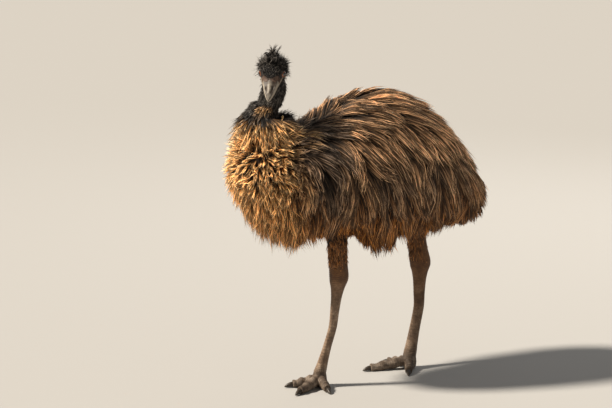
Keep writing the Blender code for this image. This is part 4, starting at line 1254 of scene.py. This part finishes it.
def build_breast():
    """The breast's short ruffled tufts, in a left and a right piece."""
    sizes = bpy.context.scene.emu_sizes
    draw = np.random.default_rng(SEED + 5)
    roots, places = torso_roots(sizes.tuft_spacing, draw)
    ahead = -roots[:, 1] + 0.012 * draw.normal(size=len(roots))
    keep = clear_of_neck(roots) & (ahead > BREAST_FROM)
    roots, places = roots[keep], places[keep]
    lines = (*breast_paths(roots, draw), places)
    spread = sizes.tuft_spacing * 0.65
    looks = {"count": 8, "width": 0.0020, "spread": spread, "converge": 0.20, "frizz": 0.005}
    for name, chosen in (("left", roots[:, 0] > 0), ("right", roots[:, 0] <= 0)):
        torso_piece("coat_breast_" + name, roots, lines, chosen, draw, looks)


def build_plumage():
    """The long coat of the torso behind the breast, in five pieces, as plumes gathered into locks."""
    sizes = bpy.context.scene.emu_sizes
    draw = np.random.default_rng(SEED)
    lock_roots, _ = torso_roots(sizes.lock_spacing, draw)
    swirl = draw.normal(0, 0.38, len(lock_roots)) + 0.50 * waves(lock_roots, 0.12, 5)
    lock_length = plume_length(lock_roots, sizes.plume_length) * draw.uniform(0.85, 1.1, len(lock_roots))
    lock_paths, _ = torso_paths(lock_roots, lock_length, 0.004, np.full(len(lock_roots), COAT * 0.9), swirl)
    roots, places = torso_roots(sizes.clump_spacing, draw)
    ahead, height = -roots[:, 1], roots[:, 2]
    keep = clear_of_neck(roots) & (ahead < LONG_PLUMES_TO)
    roots, places, ahead, height = roots[keep], places[keep], ahead[keep], height[keep]
    n = len(roots)
    mid = torso_sizes(ahead)[0]
    length = plume_length(roots, sizes.plume_length) * draw.uniform(0.72, 1.08, n)
    curl = draw.normal(0, 0.14, n) + 0.35 * waves(roots, 0.14, 5)
    paths, sides = torso_paths(roots, length, 0.004, COAT * draw.uniform(0.35, 1.05, n), curl)
    paths = gathered(paths, roots, lock_roots, lock_paths, 0.68 * draw.uniform(0.5, 1.3, n))
    looks = {
        "count": sizes.strands_per_plume,
        "width": sizes.strand_width,
        "spread": sizes.clump_spacing * 0.75,
        "converge": 0.35,
        "frizz": 0.004,
    }
    rump, back, belly = ahead < -0.30, height > mid + 0.12, height < mid - 0.16
    left = roots[:, 0] > 0
    names = ("rump", "back", "belly", "flank_left")
    group = np.select([rump, back, belly, left], names, "flank_right")
    for name in ("back", "flank_left", "flank_right", "rump", "belly"):
        torso_piece("coat_" + name, roots, (paths, sides, places), group == name, draw, looks)


def strip_places(around, low, span, share):
    """Places on the unwrap's right-hand strip: across it by a share of a turn, and up it over a span."""
    return np.stack([0.62 + 0.34 * around, low + span * share], axis=1)


def build_neck_feathers():
    """Hair-like feathers that lie down the neck and open into a ruff of dark and tan tufts at its base."""
    draw = np.random.default_rng(SEED + 1)
    rows, columns, n = 200, 64, 3600
    grid = neck_grid(rows, columns)
    v = draw.uniform(0.10, 0.99, n)
    i = (v * (rows - 1)).astype(int)
    around = draw.uniform(0, 2 * math.pi, n) / (2 * math.pi)
    j = (around * columns).astype(int) % columns
    roots = grid[i, j]
    normals = unit(roots - grid.mean(axis=1)[i])
    ways = unit(grid[np.maximum(i - 3, 0), j] - roots)
    z = roots[:, 2]
    ruff = ramp(z, 1.014, 0.976)
    low = ramp(z, 0.985, 0.945)
    facing = normals @ at(math.sin(RUFF_TURN), math.cos(RUFF_TURN), 0)
    behind = ramp(facing, 0.0, -0.6)
    to_patch = normals @ at(math.sin(PATCH_TURN), math.cos(PATCH_TURN), 0)
    length = (0.026 + 0.016 * ruff + 0.026 * low) * (1 - 0.40 * behind) * draw.uniform(0.75, 1.25, n)
    lift = 0.20 + (0.42 + 0.15 * low - 0.40 * behind) * ruff + draw.normal(0, 0.13, n)
    paths, sides = straight_paths(roots, normals, ways, length, lift, 0.10 * ruff, draw.normal(0, 0.4, n))
    patch = 0.8 * hump(z, 1.012, 0.011) * ramp(to_patch, 0.76, 0.95)
    golden = ramp(z, 0.983, 0.962) * ramp(facing, -0.2, 0.4) + patch
    golden = np.clip(golden + 0.30 * waves(roots, 0.04, 8) * ruff * (1 - behind), 0, 1)
    dark = np.clip(1 - golden - 0.4 * ramp(z, 0.97, 0.92), 0, 1)
    places = strip_places(around, 0.02, 0.44, v)
    width, spread = 0.0028 + 0.0010 * ruff, 0.004 + 0.002 * ruff
    made = strands(
        paths, sides, places, 3, width, spread, draw, converge=0.45, frizz=0.003, loose=0.003, rings=3
    )
    coat_piece("coat_neck", made, no_zone(n, breast=golden, dark=dark), "neck_feathers")


def head_normals(a, turn):
    """Places on the skull, its outward normals there and the way back along it."""
    here = skull_point(a, turn)
    back = unit(skull_point(np.maximum(a - 1e-3, -0.0495), turn) - here)
    round_it = skull_point(a, turn + 0.02) - here
    normals = unit(np.cross(round_it, back))
    inner = at(*EYE_LINE) + a[:, None] * head_axes()[0]
    return here, normals * np.sign(np.sum(normals * (here - inner), axis=1))[:, None], back


def build_head_feathers():
    """The head's black, wispy hair: short on the face, longer and tousled on crown, cheeks and nape."""
    draw = np.random.default_rng(SEED + 2)
    n = 5200
    a = draw.uniform(-0.046, 0.044, n)
    turn = draw.uniform(0, 2 * math.pi, n)
    roots, normals, back = head_normals(a, turn)
    _, x, z = head_places(roots)
    keep = np.maximum(bareness(a, x, z), eye_gap(a, x, z)) < 0.35
    roots, normals, back, a, turn, x, z = (v[keep] for v in (roots, normals, back, a, turn, x, z))
    n = len(roots)
    crown = ramp(np.sin(turn), 0.05, 0.75)
    face = ramp(a, -0.010, 0.012)
    chin = ramp(a, 0.0, 0.03) * ramp(z, 0.0, -0.01)
    by_eye = hump(a, 0.005, 0.022) * hump(z, 0.004, 0.020) * ramp(np.abs(x), 0.012, 0.028)
    length = (0.023 - 0.011 * face) * (1 - 0.45 * chin) * (1 - 0.55 * by_eye) * draw.uniform(0.65, 1.3, n)
    cheek = ramp(np.abs(np.cos(turn)), 0.6, 0.95) * (1 - face)
    length = length * (1 - 0.30 * ramp(np.sin(turn), 0.75, 0.98) + 0.35 * cheek)
    lift = 0.70 + 0.15 * crown - 0.35 * face - 0.35 * by_eye + draw.normal(0, 0.25, n) - 0.25 * chin
    ways = unit(back * (1 - 0.4 * crown * face)[:, None] + 0.55 * draw.normal(size=(n, 3)))
    curl = draw.normal(0, 1.1, n)
    paths, sides = straight_paths(roots, normals, ways, length, lift, 0.15 + 0.3 * (1 - crown), curl)
    places = strip_places(turn / (2 * math.pi), 0.52, 0.40, (a + 0.05) / 0.1)
    made = strands(
        paths, sides, places, 2, 0.0021, 0.0022, draw, converge=0.2, frizz=0.002, loose=0.0016, rings=3
    )
    coat_piece("coat_head", made, no_zone(n, dark=1.0), "neck_feathers")


def build_crest():
    """Longer plumes that stand up from the crown in a loose tuft and curl over at their tips."""
    draw = np.random.default_rng(SEED + 3)
    n = 64
    side = np.clip(draw.normal(0, 0.42, n), -1, 1)
    a = draw.uniform(-0.034, 0.000, n)
    roots, _, _ = head_normals(a, math.pi / 2 - side * 0.34 - 0.08)
    b, s, _ = head_axes()
    length = 0.026 + 0.044 * (1 - np.abs(side)) * draw.uniform(0.2, 1.0, n)
    rise = unit(UP + s * (0.40 * side)[:, None] - b * 0.05 + draw.normal(0, 0.20, (n, 3)))
    curl = unit(draw.normal(0, 1, (n, 3)) + s * (1.3 * side)[:, None] - b * 0.3)
    t = np.linspace(0, 1, 13)[None, :, None]
    ways = unit(rise[:, None] * (1 - t) + (curl[:, None] - 0.15 * UP) * t**2.2 * 1.5)
    paths = roots[:, None] - UP * 0.004 + np.cumsum(ways, axis=1) * (length / 12)[:, None, None]
    sides = unit(np.cross(ways, b + 0.01))
    places = strip_places(0.5 + 0.5 * side, 0.94, 0.04, (a + 0.04) / 0.05)
    made = strands(
        paths, sides, places, 7, 0.0019, 0.0030, draw, converge=-0.5, frizz=0.003, loose=0.0035, rings=6
    )
    coat_piece("coat_crest", made, no_zone(n, dark=1.0), "neck_feathers")


# Legs


def leg_rows(leg):
    """Centre, half width across and half depth of the leg's rings, from the hip to the ankle."""
    hip, knee, hock, shin, ankle = (at(*leg[k]) for k in ("hip", "knee", "hock", "shin", "ankle"))
    runs = (
        (hip, knee, ((0.0, 0.045, 0.055), (0.6, 0.044, 0.054))),
        (knee, hock, ((0.0, 0.038, 0.046), (0.35, 0.033, 0.037), (0.7, 0.032, 0.035), (0.86, 0.0325, 0.0375),
                      (1.0, 0.0320, 0.0395))),
        (hock, shin, ((0.10, 0.0290, 0.0375), (0.22, 0.0225, 0.0310), (0.40, 0.0170, 0.0255),
                      (0.68, 0.0138, 0.0222), (1.0, 0.0124, 0.0204))),
        (shin, ankle, ((0.40, 0.0128, 0.0204), (0.72, 0.0162, 0.0222), (0.95, 0.0205, 0.0245),
                       (1.12, 0.0225, 0.0255))),
    )
    return np.array([(*(top + (low - top) * k), w, d) for top, low, rings in runs for k, w, d in rings])


def upright_rings(centres, side, half, tall, sides, lowest):
    """Oval rings that stand across a toe or claw, flattened at the lowest level that they may reach."""
    turn = turns(sides)
    ring = centres[:, None] + (np.cos(turn)[None] * half[:, None])[..., None] * side
    ring = ring + (np.sin(turn)[None] * tall[:, None])[..., None] * UP
    ring[..., 2] = np.maximum(ring[..., 2], lowest)
    return ring


def toe_rings(leg, angle, length, rows=60, sides=28):
    """One toe as rings: padded below, knuckled above, and narrowing between the pads towards the claw."""
    way, side = heading_axes(angle)
    k = np.linspace(0, 1, rows)
    bulge = np.cos(2 * math.pi * (k * 3.3 - 0.30)) * ramp(k, 0.08, 0.25)
    height = np.interp(k, (0, 0.25, 0.45, 0.62, 0.80, 1.0), (0.034, 0.026, 0.020, 0.0180, 0.0150, 0.0120))
    height = height + 0.0010 * bulge
    half = TOE_HALF * (np.interp(k, (0, 0.25, 0.5, 0.8, 1.0), (1.0, 1.0, 0.95, 0.84, 0.70)) + 0.085 * bulge)
    start = at(*leg["ankle"]) * (1, 1, 0)
    centres = start + way * ((length - CLAW_LENGTH) * k)[:, None] + UP * height[:, None]
    return upright_rings(centres, side, half, half * 1.15, sides, 0.0)


def scutes(run, crease_width):
    """How far scutes stand out along a run, most at their lower edges, and how deep their creases are."""
    part = run - np.floor(run)
    return part**1.5 * ramp(part, 1.0, 0.88), hump(np.minimum(part, 1 - part), 0.0, crease_width)


def scale_height(p, leg):
    """How far the scales stand out at points of a leg, and how much each point lies in a crease between them.

    Broad scutes cross the front of the shank and the top of each toe. Each one is highest at its lower edge
    and ends in a narrow crease. Wrinkles of skin ring the hock and the ankle as waves of height.
    """
    hock, shin, ankle = (at(*leg[k]) for k in ("hock", "shin", "ankle"))
    z = p[:, 2]
    levels = (ankle[2], shin[2], hock[2])
    centre = np.stack([np.interp(z, levels, (ankle[k], shin[k], hock[k])) for k in (0, 1)], axis=1)
    front = unit(p[:, :2] - centre) @ heading_axes(leg["heading"])[0][:2]
    step, crease = scutes((hock[2] - z) / SHANK_SCUTE + 0.25 * front, 0.10)
    cover = ramp(z, 0.050, 0.062) * ramp(z, hock[2] - 0.03, hock[2] - 0.06) * ramp(front, 0.1, 0.5)
    high, deep = 0.0009 * step * cover, 0.6 * crease * cover
    sway = 0.0016 * np.sin(p[:, 0] * 190 + 3 * front) + 0.0012 * np.sin(p[:, 1] * 260)
    for middle, reach, pitch in ((hock[2] + 0.002, 0.030, 0.0075), (ankle[2] + 0.018, 0.016, 0.0062)):
        fold = np.cos(2 * math.pi * (z + sway - middle) / pitch)
        near = hump(z, middle, reach)
        high = high + 0.0008 * near * fold
        deep = np.maximum(deep, near * ramp(fold, -0.55, -0.95))
    flat = p[:, :2] - ankle[:2]
    for _, angle, _ in leg["toes"]:
        way = heading_axes(angle)[0][:2]
        along, aside = flat @ way, np.abs(flat @ np.array([-way[1], way[0]]))
        on_top = ramp(z, 0.010, 0.017) * ramp(z, 0.056, 0.046)
        near = ramp(aside, 0.019, 0.012) * ramp(along, 0.016, 0.030) * on_top
        step, crease = scutes(along / TOE_SCUTE, 0.13)
        high = np.maximum(high, 0.0011 * step * near)
        deep = np.maximum(deep, crease * near)
    return high, deep


def build_claws():
    """The blunt dark claws, which carry on from the toes and curve down to the floor."""
    material = horn("claw", "#3E352D", "#1C1815", 0.35)
    k = np.linspace(-0.12, 0.985, 24)
    height = np.interp(k, (-0.12, 0.35, 0.7, 1.0), (0.0120, 0.0105, 0.0078, 0.0040))
    half = np.interp(k, (-0.12, 0.35, 0.7, 0.9, 1.0), (0.0088, 0.0078, 0.0056, 0.0032, 0.0006))
    for name, leg in LEGS.items():
        for place, angle, length in leg["toes"]:
            way, side = heading_axes(angle)
            start = at(*leg["ankle"]) * (1, 1, 0) + way * (length - CLAW_LENGTH)
            centres = start + way * (CLAW_LENGTH * k)[:, None] + UP * height[:, None]
            points, faces = closed_loft(upright_rings(centres, side, half, half * 1.12, 24, 0.0002))
            item = mesh_piece(f"claw_{name}_{place}_horn", points, faces, material)
            for value, rows in (("shade", ramp(k, 0.2, -0.1) * 0.5), ("worn", 0.08 * ramp(k, 0.5, 1.0))):
                set_values(item, value, with_ends(np.repeat(rows[:, None], 24, axis=1)))
            ride(item, "claw", f"claw_{name}_{place}")


def build_leg_feathers():
    """Short feathers that lie down the upper leg and end in a ragged cuff over the hock."""
    draw = np.random.default_rng(SEED + 4)
    n = 1500
    for name, leg in LEGS.items():
        table = leg_rows(leg)
        table = table[np.argsort(table[:, 2])]
        hock = leg["hock"][2]
        cuff = hock + leg["cuff"]
        height = cuff + (hock + 0.24 - cuff) * draw.uniform(0, 1, n) ** 0.8
        x, y, wide, deep = (np.interp(height, table[:, 2], table[:, k]) for k in (0, 1, 3, 4))
        turn = draw.uniform(0, 2 * math.pi, n)
        ahead, across = heading_axes(leg["heading"])
        roots = np.stack([x, y, height], axis=1)
        roots = roots + np.outer(np.cos(turn) * wide, across) + np.outer(np.sin(turn) * deep, ahead)
        normals = unit(np.outer(np.cos(turn) / wide, across) + np.outer(np.sin(turn) / deep, ahead))
        ways = unit(-UP + 0.10 * draw.normal(size=(n, 3)))
        length = np.minimum(0.026, np.maximum(0.007, (height - cuff) * 0.5 + 0.007))
        length = length * draw.uniform(0.7, 1.3, n)
        lift = 0.08 + draw.normal(0, 0.05, n)
        paths, sides = straight_paths(roots, normals, ways, length, lift, np.zeros(n), draw.normal(0, 0.2, n))
        places = strip_places(turn / (2 * math.pi), 0.02, 0.4, (height - hock) / 0.25)
        made = strands(
            paths, sides, places, 3, 0.0016, 0.004, draw, converge=0.3, frizz=0.002, loose=0.0012, rings=2
        )
        coat_piece(f"coat_leg_{name}", made, no_zone(n, belly=1.0, dark=0.35), "plumage")


# Stage


def view_axes():
    """The camera's place, the point it aims at, its right and the way back to it, in the bird's own frame."""
    back = np.array([
        math.sin(VIEW_TURN) * math.cos(VIEW_RISE),
        -math.cos(VIEW_TURN) * math.cos(VIEW_RISE),
        math.sin(VIEW_RISE),
    ])
    right = np.array([math.cos(VIEW_TURN), math.sin(VIEW_TURN), 0.0])
    up = np.cross(right, -back)
    middle = np.array(MIDDLE_OF_VIEW)
    aim = middle - right * (MIDDLE_PIXEL[0] - IMAGE_WIDTH / 2) / PIXELS_PER_METRE
    aim = aim + up * (MIDDLE_PIXEL[1] - IMAGE_HEIGHT / 2) / PIXELS_PER_METRE
    return middle + VIEW_DISTANCE * back, aim, right, back


def into_scene(name, thing, place, way):
    """A lamp or camera at a place, turned to face along a way."""
    holder = bpy.data.objects.new(name, thing)
    holder.location = Vector(place)
    holder.rotation_euler = Vector(way).to_track_quat("-Z", "Y").to_euler()
    bpy.context.scene.collection.objects.link(holder)
    return holder


def add_lamp(name, kind, energy, colour, place, way, **settings):
    """A lamp of a kind, an energy and a colour."""
    lamp = bpy.data.lights.new(name, kind)
    lamp.energy = energy
    lamp.color = rgb(colour)[:3]
    for key, value in settings.items():
        setattr(lamp, key, value)
    into_scene(name, lamp, place, way)


def build_stage():
    """A plain pale floor, a camera at the photo's angle, and studio light with its key from the left."""
    bpy.ops.mesh.primitive_plane_add(size=80.0, location=(0, 0, -0.0005))
    floor = bpy.context.object
    floor.name = "floor"
    material, _, main = shader("pale floor", 0.9, 0.1)
    main.inputs["Base Color"].default_value = rgb("#B2B1AF")
    floor.data.materials.append(material)
    place, aim, right, back = view_axes()
    camera = bpy.data.cameras.new("camera")
    camera.sensor_width = 36.0
    camera.lens = PIXELS_PER_METRE * VIEW_DISTANCE / IMAGE_WIDTH * camera.sensor_width
    camera.clip_end = 60.0
    bpy.context.scene.camera = into_scene("camera", camera, place + STAND_AT, aim - place)
    flat = unit(back * (1, 1, 0))
    body = 0.7 * UP
    spot = -right * 0.95 + flat * 0.20 + UP * 1.02
    add_lamp("key", "SUN", 6.2, "#FFF4E4", spot, -spot, angle=math.radians(7))
    spot = right * 3.6 + flat * 3.4 + UP * 2.0
    add_lamp("fill", "AREA", 8.0, "#F4F2F0", spot + STAND_AT, body - spot, size=4.0)
    spot = right * 1.5 - flat * 3.6 + UP * 3.4
    add_lamp("rim", "AREA", 40.0, "#FFFFFF", spot + STAND_AT, body - spot, size=3.0)
    # The sky lights the bird softly, and the camera sees it nearly white.
    world = bpy.data.worlds.new("studio")
    world.use_nodes = True
    tree = world.node_tree
    sky = tree.nodes["Background"]
    sky.inputs["Color"].default_value = rgb("#F2EEE8")
    seen = node(tree, "ShaderNodeLightPath", out="Is Camera Ray")
    strength = node(tree, "ShaderNodeMath", {0: seen, 1: 0.65, 2: 0.24}, operation="MULTIPLY_ADD")
    tree.links.new(strength, sky.inputs["Strength"])
    bpy.context.scene.world = world
    bpy.context.scene.view_settings.view_transform = "Standard"


# Operators


class EMU_OT_skin(bpy.types.Operator):
    """Builds the skin of torso, neck, head and legs"""

    bl_idname = "emu.skin"
    bl_label = "Build skin"

    def execute(self, context):
        build_skin()
        return {"FINISHED"}


class EMU_OT_face(bpy.types.Operator):
    """Builds the bill and the eyes"""

    bl_idname = "emu.face"
    bl_label = "Build bill and eyes"

    def execute(self, context):
        build_bill()
        build_eyes()
        return {"FINISHED"}


class EMU_OT_plumage(bpy.types.Operator):
    """Builds the long coat of the torso"""

    bl_idname = "emu.plumage"
    bl_label = "Build plumage"

    def execute(self, context):
        build_plumage()
        build_breast()
        return {"FINISHED"}


class EMU_OT_small_feathers(bpy.types.Operator):
    """Builds the feathers of neck, head, crest and upper legs"""

    bl_idname = "emu.small_feathers"
    bl_label = "Build neck, head and leg feathers"

    def execute(self, context):
        build_neck_feathers()
        build_head_feathers()
        build_crest()
        build_leg_feathers()
        return {"FINISHED"}


class EMU_OT_claws(bpy.types.Operator):
    """Builds the claws"""

    bl_idname = "emu.claws"
    bl_label = "Build claws"

    def execute(self, context):
        build_claws()
        return {"FINISHED"}


class EMU_OT_stage(bpy.types.Operator):
    """Builds the floor, the lights and the camera"""

    bl_idname = "emu.stage"
    bl_label = "Build stage"

    def execute(self, context):
        build_stage()
        return {"FINISHED"}


class EMU_PT_panel(bpy.types.Panel):
    """Lists the steps that dress the emu"""

    bl_idname = "EMU_PT_panel"
    bl_label = "Emu"
    bl_space_type = "VIEW_3D"
    bl_region_type = "UI"
    bl_category = "Emu"

    def draw(self, context):
        for group in (context.scene.emu_sizes, context.scene.emu_colours):
            for key in group.bl_rna.properties.keys():
                if key not in ("rna_type", "name"):
                    self.layout.prop(group, key)
        for step in OPERATORS:
            self.layout.operator(step.bl_idname)


OPERATORS = (EMU_OT_skin, EMU_OT_face, EMU_OT_plumage, EMU_OT_small_feathers, EMU_OT_claws, EMU_OT_stage)
CLASSES = (EmuSizes, EmuColours) + OPERATORS + (EMU_PT_panel,)


def register():
    """Makes the classes and the settings known."""
    for kind in CLASSES:
        bpy.utils.register_class(kind)
    bpy.types.Scene.emu_sizes = bpy.props.PointerProperty(type=EmuSizes)
    bpy.types.Scene.emu_colours = bpy.props.PointerProperty(type=EmuColours)


def unregister():
    """Takes the settings and the classes away again."""
    del bpy.types.Scene.emu_sizes
    del bpy.types.Scene.emu_colours
    for kind in reversed(CLASSES):
        bpy.utils.unregister_class(kind)


def main():
    """Builds every piece in order."""
    register()
    bpy.ops.emu.skin()
    bpy.ops.emu.face()
    bpy.ops.emu.plumage()
    bpy.ops.emu.small_feathers()
    bpy.ops.emu.claws()
    bpy.ops.emu.stage()
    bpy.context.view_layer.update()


if __name__ == "__main__":
    main()
